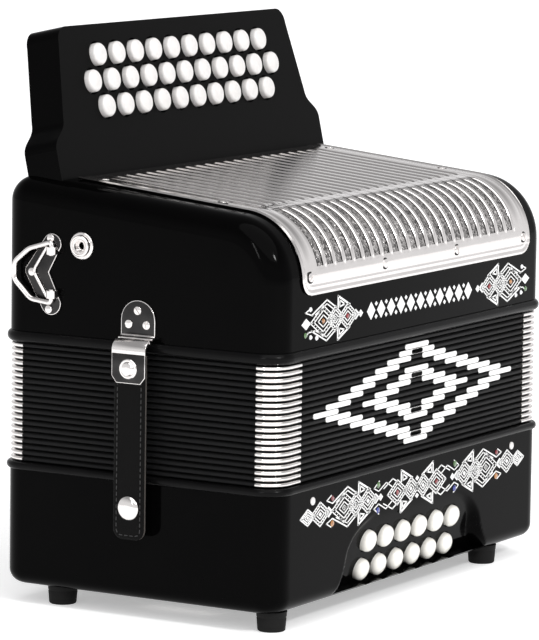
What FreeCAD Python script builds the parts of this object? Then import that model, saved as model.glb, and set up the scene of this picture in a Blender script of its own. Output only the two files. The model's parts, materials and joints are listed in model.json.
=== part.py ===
# Three-row diatonic button accordion, standing on the feet of its bass end.
# +Z up, X along the instrument's width, the playing front faces -Y.
# The origin is on the surface it stands on, under the middle of the casings.
import FreeCAD, Part
import math
import os
import re

Vector = FreeCAD.Vector

# Driving dimensions in millimetres and degrees.
SIZES = {
    "body_width": 310.0,
    "body_depth": 179.0,
    "corner_radius": 14.0,
    "wall": 4.0,
    "foot_height": 11.0,
    "foot_radius": 8.6,
    "foot_taper": 1.0,
    "foot_left": 137.0,
    "foot_right": 107.0,
    "foot_front": 76.5,
    "foot_rear": 59.0,
    "bottom_round": 8.0,
    "bass_seam": 76.0,
    "bellows_low": 80.5,
    "bellows_high": 147.5,
    "treble_seam": 154.0,
    "bead_reach": 2.0,
    "frame_rim": 16.0,
    "fold_count": 20.0,
    "fold_depth": 9.0,
    "ridge_inset": 1.0,
    "bellows_wall": 17.0,
    "roll_radius": 37.0,
    "roll_height": 190.0,
    "top_slope": 5.6,
    "board_tilt": 12.5,
    "board_y": 68.4,
    "board_z": 289.3,
    "board_top": 32.0,
    "board_foot": 62.0,
    "board_depth": 21.5,
    "board_skin": 4.0,
    "board_back": 3.0,
    "board_side": 6.0,
    "key_pitch": 19.5,
    "row_gap": 14.7,
    "key_radius": 6.45,
    "key_proud": 4.0,
    "key_length": 8.5,
    "key_crown": 1.6,
    "key_clearance": 1.05,
    "stem_radius": 2.0,
    "arm_depth": 9.0,
    "arm_thick": 3.0,
    "arm_width": 2.4,
    "arm_offset": 4.5,
    "hinge_down": 66.0,
    "axle_radius": 1.5,
    "running_gap": 0.05,
    "boss_radius": 3.8,
    "lever_low": 216.5,
    "lever_high": 219.5,
    "deck_top": 207.0,
    "deck_thick": 5.0,
    "pad_width": 15.0,
    "pad_length": 26.0,
    "pad_height": 5.0,
    "pad_front": -45.0,
    "pad_spacing": 35.0,
    "action_half": 112.0,
    "deck_margin": 7.0,
    "window_half": 118.0,
    "window_front": -80.0,
    "window_rear": 46.0,
    "window_low": 200.0,
    "grille_half": 133.0,
    "grille_rear": 54.0,
    "grille_low": 183.0,
    "grille_thick": 1.8,
    "grille_slots": 22.0,
    "panel_tilt": 14.8,
    "panel_top_z": 52.1,
    "scoop_half": 91.0,
    "ledge": 2.5,
    "bass_pitch": 19.6,
    "bass_upper_z": 37.4,
    "bass_lower_z": 20.8,
    "bass_radius": 6.4,
    "bass_clearance": 0.7,
    "bass_proud": 5.0,
    "bass_crown": 3.8,
    "valve_board": 22.0,
    "valve_thick": 4.0,
    "valve_radius": 7.2,
    "strap_width": 20.0,
    "strap_y": -1.0,
    "strap_low": 46.0,
    "snap_z": 63.5,
    "upper_snap_z": 140.3,
    "plate_thick": 1.5,
    "pin_out": 6.0,
    "pin_z": 155.0,
    "pin_radius": 1.2,
    "pin_boss": 2.5,
    "loop_out": 3.5,
    "loop_y": 54.0,
    "loop_z": 188.3,
    "loop_half": 17.0,
    "wire_radius": 1.5,
    "socket_y": 36.5,
    "socket_z": 204.0,
    "socket_radius": 5.0,
    "socket_bore": 3.2,
    "air_y": -20.0,
    "air_z": 40.0,
    "air_radius": 6.0,
    "air_clearance": 0.6,
}

doc = FreeCAD.newDocument("accordion")
sheet = doc.addObject("Spreadsheet::Sheet", "Sizes")
for row, (alias, value) in enumerate(SIZES.items(), start=1):
    sheet.set("A%d" % row, alias)
    sheet.set("B%d" % row, str(value))
    sheet.setAlias("B%d" % row, alias)
doc.recompute()

NODES = []
ALIAS = re.compile("|".join(r"\b%s\b" % name for name in sorted(SIZES, key=len, reverse=True)))


def size(name):
    """A driving dimension, read from the sheet."""
    return float(sheet.get(name))


def bound(text):
    """An expression with each dimension's name pointed at the sheet."""
    return ALIAS.sub(lambda match: "Sizes." + match.group(0), text)


def bind(item, prop, value):
    """Set a property from a number, or bind it when it is written as an expression."""
    if isinstance(value, str):
        item.setExpression(prop, bound(value))
    else:
        item.setExpression(prop, repr(float(value)))


def place(item, spot, axis=(0, 0, 1), angle=0.0):
    """Bind an object's position to the sheet and turn it about an axis."""
    item.Placement = FreeCAD.Placement(Vector(0, 0, 0), FreeCAD.Rotation(Vector(*axis), angle))
    for letter, value in zip("xyz", spot):
        bind(item, "Placement.Base." + letter, value)
    return item


def box(name, low, lengths, axis=(0, 0, 1), angle=0.0):
    item = doc.addObject("Part::Box", name)
    for prop, value in zip(("Length", "Width", "Height"), lengths):
        bind(item, prop, value)
    return place(item, low, axis, angle)


def cylinder(name, start, radius, length, axis=(0, 0, 1), angle=0.0):
    item = doc.addObject("Part::Cylinder", name)
    bind(item, "Radius", radius)
    bind(item, "Height", length)
    return place(item, start, axis, angle)


def fuse(name, pieces):
    item = doc.addObject("Part::MultiFuse", name)
    item.Shapes = pieces
    return item


def gather(name, pieces):
    item = doc.addObject("Part::Compound", name)
    item.Links = pieces
    return item


def cut(name, base, tool):
    item = doc.addObject("Part::Cut", name)
    item.Base = base
    item.Tool = tool
    return item


def rounded(name, base, chosen, radius):
    """Fillet the edges of base that the test picks out."""
    doc.recompute()
    item = doc.addObject("Part::Fillet", name)
    item.Base = base
    item.Edges = [(number, radius, radius) for number, edge in enumerate(base.Shape.Edges, start=1)
                  if chosen(edge)]
    return item


def shaped(name, shape):
    item = doc.addObject("Part::Feature", name)
    item.Shape = shape
    return item


def extruded(name, wire, direction):
    """A flat closed wire swept along a direction."""
    flat = shaped(name + "_outline", Part.Face(wire))
    item = doc.addObject("Part::Extrusion", name)
    item.Base = flat
    item.DirMode = "Custom"
    item.Dir = Vector(*direction).normalize()
    item.LengthFwd = Vector(*direction).Length
    item.Solid = True
    return item


def node(name, item):
    """Mark an object as a sub-part: its label names its file."""
    item.Label = name
    NODES.append(item)
    return item


def ring_wire(grow, level):
    """The casings' rounded outline, grown outwards, at one level."""
    half_x = size("body_width") / 2 + grow
    half_y = size("body_depth") / 2 + grow
    radius = size("corner_radius") + grow
    corners = ((half_x, -half_y, 0), (half_x, half_y, 90), (-half_x, half_y, 180), (-half_x, -half_y, 270))
    pieces = []
    last = None
    for corner_x, corner_y, start in corners:
        centre = Vector(corner_x - math.copysign(radius, corner_x),
                        corner_y - math.copysign(radius, corner_y), level)
        points = [centre + Vector(math.cos(math.radians(a)), math.sin(math.radians(a)), 0) * radius
                  for a in (start - 90, start - 45, start)]
        if last is not None:
            pieces.append(Part.makeLine(last, points[0]))
        pieces.append(Part.Arc(*points).toShape())
        last = points[2]
    pieces.append(Part.makeLine(last, pieces[0].Vertexes[0].Point))
    return Part.Wire(pieces)


def treble_outline(grow, low, rear):
    """Side view of the treble casing: upright front, rolled edge, sloping top."""
    front = -size("body_depth") / 2
    radius = size("roll_radius")
    slope = math.radians(size("top_slope"))
    centre_y = front + radius
    reach = radius + grow
    centre_z = size("roll_height")

    def on_roll(angle):
        return Vector(0, centre_y - reach * math.cos(angle), centre_z + reach * math.sin(angle))

    # The roll is tangent to the upright front and to the sloping top.
    end = math.pi / 2 - slope
    last_y = on_roll(end).y
    rise = math.tan(slope)
    rear_top = Vector(0, rear, on_roll(end).z + (rear - last_y) * rise)
    points = [Vector(0, rear, low), Vector(0, front - grow, low), on_roll(0)]
    wire = [Part.makeLine(points[0], points[1]), Part.makeLine(points[1], points[2]),
            Part.Arc(on_roll(0), on_roll(end / 2), on_roll(end)).toShape(),
            Part.makeLine(on_roll(end), rear_top), Part.makeLine(rear_top, points[0])]
    return Part.Wire(wire)


def treble_block(name, grow, low, half_width, radius):
    """A solid with the treble casing's side view and rounded edges."""
    rear = size("body_depth") / 2 + grow
    wire = treble_outline(grow, low, rear)
    wire.translate(Vector(-half_width, 0, 0))
    block = extruded(name + "_block", wire, (2 * half_width, 0, 0))

    def chosen(edge):
        on_side = all(abs(abs(v.Point.x) - half_width) < 1e-4 for v in edge.Vertexes)
        same_side = len({round(v.Point.x) for v in edge.Vertexes}) == 1
        above = any(v.Point.z > low + 0.1 for v in edge.Vertexes)
        along_rear = all(v.Point.y > rear - 1e-4 and v.Point.z > low + 1 for v in edge.Vertexes)
        return (on_side and same_side and above) or along_rear

    return rounded(name, block, chosen, radius)


def on_board(up, inward):
    """Expressions for y and z at a place on the leaning fingerboard."""
    y = "board_y + (%s) * sin(board_tilt * 1deg) + (%s) * cos(board_tilt * 1deg)" % (up, inward)
    z = "board_z + (%s) * cos(board_tilt * 1deg) - (%s) * sin(board_tilt * 1deg)" % (up, inward)
    return y, z


def into_board(name, x, up, inward, radius, length):
    """A cylinder that runs into the fingerboard, square to its face."""
    y, z = on_board(up, inward)
    return cylinder(name, (x, y, z), radius, length, (1, 0, 0), -90.0 - size("board_tilt"))


def board_wire(inset, low):
    """Fingerboard outline in its own plane: narrow at the top, flared at the foot."""
    top = size("board_top") - inset
    half_top, half_waist, half_flare = 124.0 - inset, 132.5 - inset, 144.5 - inset
    corner = 9.0
    waist, flare = -19.0, -36.0
    right = [Vector(half_flare, 0, low), Vector(half_flare, 0, flare), Vector(half_waist, 0, waist),
             Vector(half_top, 0, top - corner), Vector(half_top - corner, 0, top)]
    left = [Vector(-p.x, 0, p.z) for p in right]

    def side(points, sign):
        flank = Part.makeLine(points[0], points[1])
        curve = Part.BezierCurve()
        curve.setPoles([points[1], points[1] + Vector(0, 0, 8), points[2] - Vector(0, 0, 8), points[2]])
        upper = Part.makeLine(points[2], points[3])
        bend = points[3] + Vector(-sign * corner * 0.293, 0, corner * 0.707)
        return [flank, curve.toShape(), upper, Part.Arc(points[3], bend, points[4]).toShape()]

    edges = side(right, 1) + [Part.makeLine(right[4], left[4])] + side(left, -1)
    edges.append(Part.makeLine(left[0], right[0]))
    return Part.Wire(Part.__sortEdges__(edges))


def board_solid(name, inset, low, start, thickness):
    """A slab with the fingerboard's outline, leaned back to its place."""
    wire = board_wire(inset, low)
    slab = extruded(name, wire, (0, thickness, 0))
    tilt = math.radians(size("board_tilt"))
    slab.Placement = FreeCAD.Placement(
        Vector(0, size("board_y") + start * math.cos(tilt), size("board_z") - start * math.sin(tilt)),
        FreeCAD.Rotation(Vector(1, 0, 0), -size("board_tilt")))
    return slab


def treble_keys_layout():
    """Name, column, row (1 upper, 0 middle, -1 lower) and lever offset of each treble key."""
    for row, count, label in ((1, 10, "upper"), (0, 11, "middle"), (-1, 10, "lower")):
        for index in range(count):
            yield "treble_key_%s_%02d" % (label, index + 1), index - (count - 1) / 2, row


def bass_keys_layout():
    for level, label in (("bass_upper_z", "upper"), ("bass_lower_z", "lower")):
        for index in range(6):
            yield "bass_key_%s_%d" % (label, index + 1), index - 2.5, level


# ---------------------------------------------------------------- treble side

def make_treble_casing():
    """Hollow casing, open to the bellows, with a window under the grille."""
    half_width = size("body_width") / 2
    wall = size("wall")
    corner = size("corner_radius")
    passage_front, passage_depth, passage_low = 60.0, 16.0, 225.0
    above = 60.0
    outer = treble_block("treble_outer", 0.0, size("treble_seam"), half_width, corner)
    inner = treble_block("treble_inner", -wall, size("treble_seam") - 1, half_width - wall, corner - wall)
    window = box("grille_window", ("-window_half", "window_front", "window_low"),
                 ("2 * window_half", "window_rear - window_front", above))
    passage = box("lever_passage", ("-action_half", passage_front, passage_low),
                  ("2 * action_half", passage_depth, above))
    socket_hole = cylinder("socket_hole", ("-body_width / 2 - 1", "socket_y", "socket_z"), "socket_radius",
                           "wall + 2", (0, 1, 0), 90.0)
    voids = fuse("treble_voids", [inner, window, passage, socket_hole])
    node("treble_casing", cut("treble_shell", outer, voids))


def make_grille():
    """Pierced metal cover, bent over the rolled edge."""
    proud = 0.1
    side_margin, slot_width = 17.0, 3.2
    top_front, top_length, top_low, top_height = -42.0, 88.0, 220.0, 30.0
    roll_front, roll_length, roll_low, roll_height = -84.0, 28.0, 198.0, 40.0
    half = size("grille_half")
    outer = treble_outline(proud + size("grille_thick"), size("grille_low"), size("grille_rear"))
    inner = treble_outline(proud, size("grille_low") - 1, size("grille_rear") + 1)
    outer.translate(Vector(-half, 0, 0))
    inner.translate(Vector(-half - 1, 0, 0))
    plate = cut("grille_plate", extruded("grille_outer", outer, (2 * half, 0, 0)),
                extruded("grille_inner", inner, (2 * half + 2, 0, 0)))
    slots = []
    pitch = 2 * (half - side_margin) / size("grille_slots")
    for index in range(int(size("grille_slots"))):
        x = -half + side_margin + (index + 0.5) * pitch - slot_width / 2
        slots.append(box("top_slot_%02d" % index, (x, top_front, top_low),
                         (slot_width, top_length, top_height)))
        slots.append(box("roll_slot_%02d" % index, (x, roll_front, roll_low),
                         (slot_width, roll_length, roll_height)))
    node("treble_grille", cut("grille", plate, gather("grille_slots_cut", slots)))


def make_fingerboard():
    """Hollow board that holds the buttons and covers their levers."""
    skin = size("board_skin")
    low = -size("board_foot")
    slab = board_solid("board_outer", 0.0, low, 0.0, size("board_depth"))
    hollow = board_solid("board_hollow", size("board_side"), low - 1, skin,
                         size("board_depth") - skin - size("board_back"))
    holes = []
    for name, column, row in treble_keys_layout():
        holes.append(into_board("hole_" + name, "%s * key_pitch" % column, "%s * row_gap" % row, -1.0,
                                "key_radius + key_clearance", "board_skin + 2"))
    seat = treble_block("board_seat", 0.0, size("treble_seam"), size("body_width") / 2, size("corner_radius"))
    node("fingerboard", cut("board", slab, fuse("board_voids", [hollow, seat] + holes)))


def front_rim(item):
    """A test for the one circular edge at the front of a turned solid."""
    def chosen(edge):
        front = min(v.Point.y for v in item.Shape.Vertexes)
        return len(edge.Vertexes) == 1 and edge.Vertexes[0].Point.y == front

    return chosen


def make_treble_key(name, column, row):
    """One button with its bell-crank lever and the pallet that covers its air hole."""
    x = "%s * key_pitch" % column
    lever_x = "(%s + %s * arm_offset)" % (x, row)
    up = "%s * row_gap" % row
    hinge_y, hinge_z = on_board("-hinge_down", "arm_depth + arm_thick / 2")
    pad_y = "(pad_front + %d * pad_spacing)" % (1 - row)
    tilt = size("board_tilt")
    head_low, head_tall, head_half = 3.5, 7.0, 2.3
    boss_half, bore_half, post_half, drop_half = 1.9, 3.0, 2.0, 1.5

    cap = into_board(name + "_cap", x, up, "-key_proud", "key_radius", "key_length")
    cap = rounded(name + "_crown", cap, front_rim(cap), size("key_crown"))
    stem = into_board(name + "_stem", x, up, "key_length - key_proud", "stem_radius",
                      "arm_depth - key_length + key_proud")
    button = fuse(name + "_button", [cap, stem])

    # An outer row's lever runs beside its button, so its head reaches across to the stem.
    head_y, head_z = on_board("%s - %s" % (up, head_low), "arm_depth")
    head_x = "%s - %s" % (x, head_half if row >= 0 else "(arm_offset + arm_width / 2)")
    head_wide = "arm_offset + arm_width / 2 + %s" % head_half if row else 2 * head_half
    head = box(name + "_head", (head_x, head_y, head_z), (head_wide, "arm_thick", head_tall),
               (1, 0, 0), -tilt)
    foot_y, foot_z = on_board("-hinge_down", "arm_depth")
    arm = box(name + "_arm", ("%s - arm_width / 2" % lever_x, foot_y, foot_z),
              ("arm_width", "arm_thick", "hinge_down + %s" % up), (1, 0, 0), -tilt)
    boss = cylinder(name + "_boss", ("%s - %s" % (lever_x, boss_half), hinge_y, hinge_z), "boss_radius",
                    2 * boss_half, (0, 1, 0), 90.0)
    drop = box(name + "_drop",
               ("%s - arm_width / 2" % lever_x, "%s - %s" % (hinge_y, drop_half), "lever_low"),
               ("arm_width", 2 * drop_half, "%s - lever_low" % hinge_z))
    bar = box(name + "_bar", ("%s - arm_width / 2" % lever_x, "%s - %s" % (pad_y, post_half), "lever_low"),
              ("arm_width", "%s + %s - %s + %s" % (hinge_y, drop_half, pad_y, post_half),
               "lever_high - lever_low"))
    post = box(name + "_post",
               ("%s - arm_width / 2" % lever_x, "%s - %s" % (pad_y, post_half), "deck_top + pad_height"),
               ("arm_width", 2 * post_half, "lever_low - deck_top - pad_height"))
    bore = cylinder(name + "_bore", ("%s - %s" % (lever_x, bore_half), hinge_y, hinge_z),
                    "axle_radius + running_gap", 2 * bore_half, (0, 1, 0), 90.0)
    lever = cut(name + "_lever", fuse(name + "_crank", [head, arm, boss, drop, bar, post]), bore)

    pad = box(name + "_pad", ("%s - pad_width / 2" % lever_x, "%s - pad_length / 2" % pad_y, "deck_top"),
              ("pad_width", "pad_length", "pad_height"))
    node(name, gather(name + "_parts", [button, lever, pad]))


def make_treble_soundboard():
    """Pallet deck with its air holes, reed blocks below it and the levers' axle above."""
    deck_front, deck_depth = -76.0, 156.0
    hole_width, hole_length, through = 9.0, 16.0, 20.0
    reed_width, reed_low = 14.0, 160.0
    post_width, post_deep = 4.0, 8.0
    under = "deck_top - deck_thick - 7"
    deck = box("deck", ("-body_width / 2 + deck_margin", deck_front, "deck_top - deck_thick"),
               ("body_width - 2 * deck_margin", deck_depth, "deck_thick"))
    holes = [box("socket_notch", ("-body_width / 2", "socket_y - %s" % (hole_length / 2), under),
                 (through, hole_length, through))]
    for name, column, row in treble_keys_layout():
        spot = ("%s * key_pitch + %s * arm_offset - %s" % (column, row, hole_width / 2),
                "pad_front + %d * pad_spacing - %s" % (1 - row, hole_length / 2), under)
        holes.append(box("air_" + name, spot, (hole_width, hole_length, through)))
    pieces = [cut("deck_pierced", deck, gather("air_holes", holes))]
    for index in range(3):
        pieces.append(box("reed_block_%d" % index,
                          ("-action_half", "pad_front + %d * pad_spacing + 9" % index, reed_low),
                          ("2 * action_half", reed_width, "deck_top - deck_thick - %s" % reed_low)))
    hinge_y, hinge_z = on_board("-hinge_down", "arm_depth + arm_thick / 2")
    axle = cylinder("axle", ("-action_half - %s" % post_width, hinge_y, hinge_z), "axle_radius",
                    "2 * action_half + %s" % (2 * post_width), (0, 1, 0), 90.0)
    posts = []
    for side in (-1, 1):
        centre = "%d * (action_half + %s)" % (side, post_width / 2)
        posts.append(box("axle_post_%d" % side,
                         ("%s - %s" % (centre, post_width / 2), "%s - %s" % (hinge_y, post_deep / 2),
                          "deck_top"),
                         (post_width, post_deep, "%s + %s - deck_top" % (hinge_z, post_deep / 2))))
    pieces.append(fuse("axle_carrier", [axle] + posts))
    node("treble_soundboard", gather("treble_soundboard_parts", pieces))


# ------------------------------------------------------------------- bellows

def make_frame(name, low, high):
    """Bellows frame: a rim with a rounded bead all round."""
    height = size(high) - size(low)
    base = ring_wire(size("bead_reach"), size(low))
    rim = extruded(name + "_rim", base, (0, 0, height))
    bead = rounded(name + "_bead", rim, lambda edge: abs(edge.BoundBox.ZLength) < 1e-6, height / 2 - 0.05)
    hole = box(name + "_hole", ("-body_width / 2 + frame_rim", "-body_depth / 2 + frame_rim", "%s - 1" % low),
               ("body_width - 2 * frame_rim", "body_depth - 2 * frame_rim", "%s - %s + 2" % (high, low)))
    node(name, cut(name + "_ring", bead, hole))


def make_bellows():
    """Folded cloth tube: ridges at the casings' outline, valleys between them."""
    low = size("bellows_low")
    pitch = (size("bellows_high") - low) / size("fold_count")
    wires = []
    for half in range(2 * int(size("fold_count")) + 1):
        grow = -size("ridge_inset") if half % 2 else -size("fold_depth")
        wires.append(ring_wire(grow, low + half * pitch / 2))
    outer = shaped("bellows_outer", Part.makeLoft(wires, True, True))
    hole = box("bellows_hole",
               ("-body_width / 2 + bellows_wall", "-body_depth / 2 + bellows_wall", "bellows_low - 1"),
               ("body_width - 2 * bellows_wall", "body_depth - 2 * bellows_wall",
                "bellows_high - bellows_low + 2"))
    node("bellows", cut("bellows_tube", outer, hole))


# ----------------------------------------------------------------- bass side

def panel_y(level):
    """Expression for the y of the slanted bass button panel at a level."""
    return "(-body_depth / 2 + (panel_top_z - (%s)) * tan(panel_tilt * 1deg))" % level


def make_scoop(name, depth):
    """Wedge in front of the slanted panel; depth moves it back for the panel's inner face."""
    half = size("scoop_half")
    low = size("foot_height") + size("ledge")
    top = size("panel_top_z") + 6
    shoulder_in, shoulder_down, top_in = 12.0, 15.0, 25.0
    reach, beyond, below = 5.0, 150.0, 80.0
    right = [Vector(half, 0, low), Vector(half - shoulder_in, 0, top - shoulder_down),
             Vector(half - top_in, 0, top)]
    left = [Vector(-p.x, 0, p.z) for p in reversed(right)]
    wire = Part.makePolygon(right + left + [right[0]])
    wire.translate(Vector(0, -size("body_depth") / 2 - reach, 0))
    prism = extruded(name + "_prism", wire, (0, 40, 0))
    # Everything behind the panel's plane stays: a block leaned with the panel keeps it.
    behind = box(name + "_behind",
                 (-beyond, "-body_depth / 2 + %s / cos(panel_tilt * 1deg) + %s * sin(panel_tilt * 1deg)"
                  % (depth, below), "panel_top_z - %s * cos(panel_tilt * 1deg)" % below),
                 (2 * beyond, 60, 2 * below), (1, 0, 0), size("panel_tilt"))
    return cut(name, prism, behind)


def make_bass_casing():
    """Hollow casing with a closed bottom and a scooped, slanted button panel."""
    wall = size("wall")
    low = size("foot_height")
    height = size("bass_seam") - low
    stud_inside = 6.6
    block = extruded("bass_block", ring_wire(0.0, low), (0, 0, height))
    outer = rounded("bass_outer", block, lambda edge: edge.BoundBox.ZMax < low + 1e-3, size("bottom_round"))
    scoop = make_scoop("scoop", 0.0)
    cavity = extruded("bass_cavity", ring_wire(-wall, low + size("ledge")), (0, 0, height))
    backing = make_scoop("panel_backing", wall)
    inner = cut("bass_inner", cavity, backing)
    holes = []
    for name, column, level in bass_keys_layout():
        holes.append(cylinder("hole_" + name, ("%s * bass_pitch" % column, panel_y(level), level),
                              "bass_radius + bass_clearance", "wall + 3", (1, 0, 0),
                              -90.0 + size("panel_tilt")))
    air_hole = cylinder("air_hole", ("body_width / 2 - wall - 1", "air_y", "air_z"),
                        "air_radius + air_clearance", "wall + 2", (0, 1, 0), 90.0)
    shell = cut("bass_shell", outer, fuse("bass_voids", [scoop, inner, air_hole] + holes))
    studs = []
    for side in (-1, 1):
        start = "%d * body_width / 2 - %s" % (side, stud_inside if side < 0 else 0)
        studs.append(cylinder("stud_%d" % side, (start, "strap_y", "snap_z"), 4.0, stud_inside,
                              (0, 1, 0), 90.0))
    node("bass_casing", gather("bass_casing_parts", [shell] + studs))


def make_feet():
    """Four tapered rubber feet."""
    feet = []
    for x in ("-foot_left", "foot_right"):
        for y in ("-foot_front", "foot_rear"):
            foot = doc.addObject("Part::Cone", "foot")
            bind(foot, "Radius1", "foot_radius - foot_taper")
            bind(foot, "Radius2", "foot_radius")
            bind(foot, "Height", "foot_height")
            feet.append(place(foot, (x, y, 0)))
    node("rubber_feet", gather("rubber_feet_parts", feet))


def make_bass_key(name, column, level):
    """One crowned bass button on a push rod whose pallet seats behind the valve board."""
    x = "%s * bass_pitch" % column
    turn = -90.0 + size("panel_tilt")

    def along(inward):
        return (x, "%s + (%s) * cos(panel_tilt * 1deg)" % (panel_y(level), inward),
                "%s + (%s) * sin(panel_tilt * 1deg)" % (level, inward))

    sunk = 3.0
    cap = cylinder(name + "_cap", along("-bass_proud"), "bass_radius", "bass_proud + %s" % sunk,
                   (1, 0, 0), turn)
    cap = rounded(name + "_crown", cap, front_rim(cap), size("bass_crown"))
    rod = cylinder(name + "_rod", along(sunk), "stem_radius", "valve_board + 1", (1, 0, 0), turn)
    pallet = cylinder(name + "_pallet", along("valve_board + valve_thick"), "valve_radius", 3,
                      (1, 0, 0), turn)
    button = fuse(name + "_button", [cap, rod])
    node(name, gather(name + "_parts", [button, pallet]))


def make_bass_soundboard():
    """Slanted valve board behind the buttons, reed deck above it and two reed blocks."""
    turn = size("panel_tilt")
    board_half, board_tall, board_low, valve_hole = 66.0, 38.0, 15.0, 4.5
    deck_low, deck_thick = 61.0, 4.0
    window_half, window_front, window_deep = 90.0, -30.0, 12.0
    reed_half, reed_front, reed_gap, reed_deep, reed_tall = 95.0, -4.0, 34.0, 16.0, 14.0
    start = "%s + valve_board * cos(panel_tilt * 1deg)" % panel_y(board_low)
    board = box("valve_plate", (-board_half, start, "%s + valve_board * sin(panel_tilt * 1deg)" % board_low),
                (2 * board_half, "valve_thick", board_tall), (1, 0, 0), turn)
    holes = []
    for name, column, level in bass_keys_layout():
        spot = ("%s * bass_pitch" % column,
                "%s + (valve_board - 1) * cos(panel_tilt * 1deg)" % panel_y(level),
                "%s + (valve_board - 1) * sin(panel_tilt * 1deg)" % level)
        holes.append(cylinder("valve_" + name, spot, valve_hole, "valve_thick + 2", (1, 0, 0), -90.0 + turn))
    deck = box("bass_deck", ("-body_width / 2 + deck_margin", "-body_depth / 2 + deck_margin", deck_low),
               ("body_width - 2 * deck_margin", "body_depth - 2 * deck_margin", deck_thick))
    window = box("bass_deck_window", (-window_half, window_front, deck_low - 6),
                 (2 * window_half, window_deep, 20))
    blocks = [box("bass_reeds_%d" % index, (-reed_half, reed_front + index * reed_gap, deck_low + deck_thick),
                  (2 * reed_half, reed_deep, reed_tall)) for index in range(2)]
    plate = cut("valve_plate_pierced", board, gather("valve_holes", holes))
    pierced_deck = cut("bass_deck_pierced", deck, window)
    node("bass_soundboard", gather("bass_soundboard_parts", [plate, pierced_deck] + blocks))


def make_hand_strap():
    """Leather hand strap under the bass end, held by a plate at each end."""
    low, thick, top = 3.0, 2.5, size("foot_height")
    left, right, rise, held, plate_thick = -122.0, 92.0, 26.0, 8.0, 1.2
    front, width = -30.0, 45.0
    under = [Vector(left, 0, top), Vector(left, 0, top - thick), Vector(left + held, 0, top - thick),
             Vector(left + rise, 0, low), Vector(right - rise, 0, low), Vector(right - held, 0, top - thick),
             Vector(right, 0, top - thick), Vector(right, 0, top)]
    over = [Vector(right - held, 0, top), Vector(right - rise, 0, low + thick),
            Vector(left + rise, 0, low + thick), Vector(left + held, 0, top)]
    wire = Part.makePolygon(under + over + [under[0]])
    wire.translate(Vector(0, front, 0))
    band = extruded("hand_strap_band", wire, (0, width, 0))
    plates = [box("strap_plate_%d" % n, (x, front, top - thick - plate_thick),
                  (held, width, plate_thick))
              for n, x in enumerate((left, right - held))]
    node("hand_strap", gather("hand_strap_parts", [band] + plates))


def make_air_button():
    """Air release button on the bass end's far side, with its rod and valve disc."""
    cap_length, cap_inside, rod_length = 11.0, 6.0, 20.0
    cap = cylinder("air_cap", ("body_width / 2 - %s" % cap_inside, "air_y", "air_z"), "air_radius",
                   cap_length, (0, 1, 0), 90.0)
    rod = cylinder("air_rod", ("body_width / 2 - %s" % (cap_inside + rod_length), "air_y", "air_z"),
                   "stem_radius", rod_length, (0, 1, 0), 90.0)
    node("air_button", fuse("air_button_parts", [cap, rod]))


# --------------------------------------------------------- side hardware

def side_x(side, out):
    """Expression for x at a distance out from one side of the casings."""
    return "(%d * (body_width / 2 + %s))" % (side, out)


def side_box(name, side, out, deep, y, width, z, height):
    """A box on a side wall: out is its near face, deep its thickness."""
    near = out if side > 0 else "%s + %s" % (out, deep)
    return box(name, (side_x(side, near), y, z), (deep, width, height))


def side_pin(name, side, out, y, z, radius, length):
    """A cylinder standing on a side wall."""
    near = out if side > 0 else "%s + %s" % (out, length)
    return cylinder(name, (side_x(side, near), y, z), radius, length, (0, 1, 0), 90.0)


def make_loop_bracket(side, label):
    """Plate with two knuckles that hold the strap loop's hinge pins."""
    knuckle_radius, knuckle_tall, below, above = 3.0, 4.6, 14.4, 9.8
    plate = [side_box(label + "_loop_plate", side, 0, "plate_thick", "loop_y - 4", 9, "loop_z - 23", 46)]
    for number, start in enumerate(("loop_z - %s" % below, "loop_z + %s" % above)):
        plate.append(cylinder("%s_knuckle_%d" % (label, number), (side_x(side, "loop_out"), "loop_y", start),
                              knuckle_radius, knuckle_tall))
    bores = cylinder(label + "_knuckle_bore", (side_x(side, "loop_out"), "loop_y", "loop_z - 20"),
                     "wire_radius + running_gap", 40)
    return cut(label + "_loop_bracket", fuse(label + "_loop_plates", plate), bores)


def make_strap_bracket(side, label):
    """Hinge of the bellows strap: a screwed plate with two ears, two eyes and a pin."""
    ear_width, ear_low, ear_tall = 5.0, 155.5, 3.0
    half, plate_tall = 11.0, 21.5
    first = "strap_y - %s" % half
    hinge = [side_box(label + "_strap_plate", side, 0, "plate_thick", first, 2 * half, ear_low, plate_tall)]
    for number, start in enumerate((first, "strap_y + %s" % (half - ear_width))):
        hinge.append(side_box("%s_ear_%d" % (label, number), side, 0, "pin_out + pin_boss", start, ear_width,
                              ear_low, ear_tall))
        hinge.append(cylinder("%s_eye_%d" % (label, number), (side_x(side, "pin_out"), start, "pin_z"),
                              "pin_boss", ear_width, (1, 0, 0), -90.0))
    hinge.append(cylinder(label + "_hinge_pin", (side_x(side, "pin_out"), first, "pin_z"), "pin_radius",
                          2 * half, (1, 0, 0), -90.0))
    for number, (across, z) in enumerate(((0, 172.3), (-5.6, 163.5), (5.6, 163.5))):
        hinge.append(side_pin("%s_strap_screw_%d" % (label, number), side, "plate_thick",
                              "strap_y + %s" % across, z, 2.2, 0.9))
    return fuse(label + "_strap_bracket", hinge)


def make_socket():
    """Pickup socket: a flanged barrel through the left wall."""
    barrel_length, flange_radius, flange_out, bore_out = 16.0, 7.5, 3.5, 5.0
    flange = side_pin("socket_flange", -1, 0, "socket_y", "socket_z", flange_radius, flange_out)
    barrel = cylinder("socket_barrel", ("-body_width / 2", "socket_y", "socket_z"), "socket_radius",
                      barrel_length, (0, 1, 0), 90.0)
    bore = cylinder("socket_bore_tool", ("-body_width / 2 - %s" % bore_out, "socket_y", "socket_z"),
                    "socket_bore", barrel_length + bore_out + 1, (0, 1, 0), 90.0)
    return cut("pickup_socket", fuse("socket_body", [flange, barrel]), bore)


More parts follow.
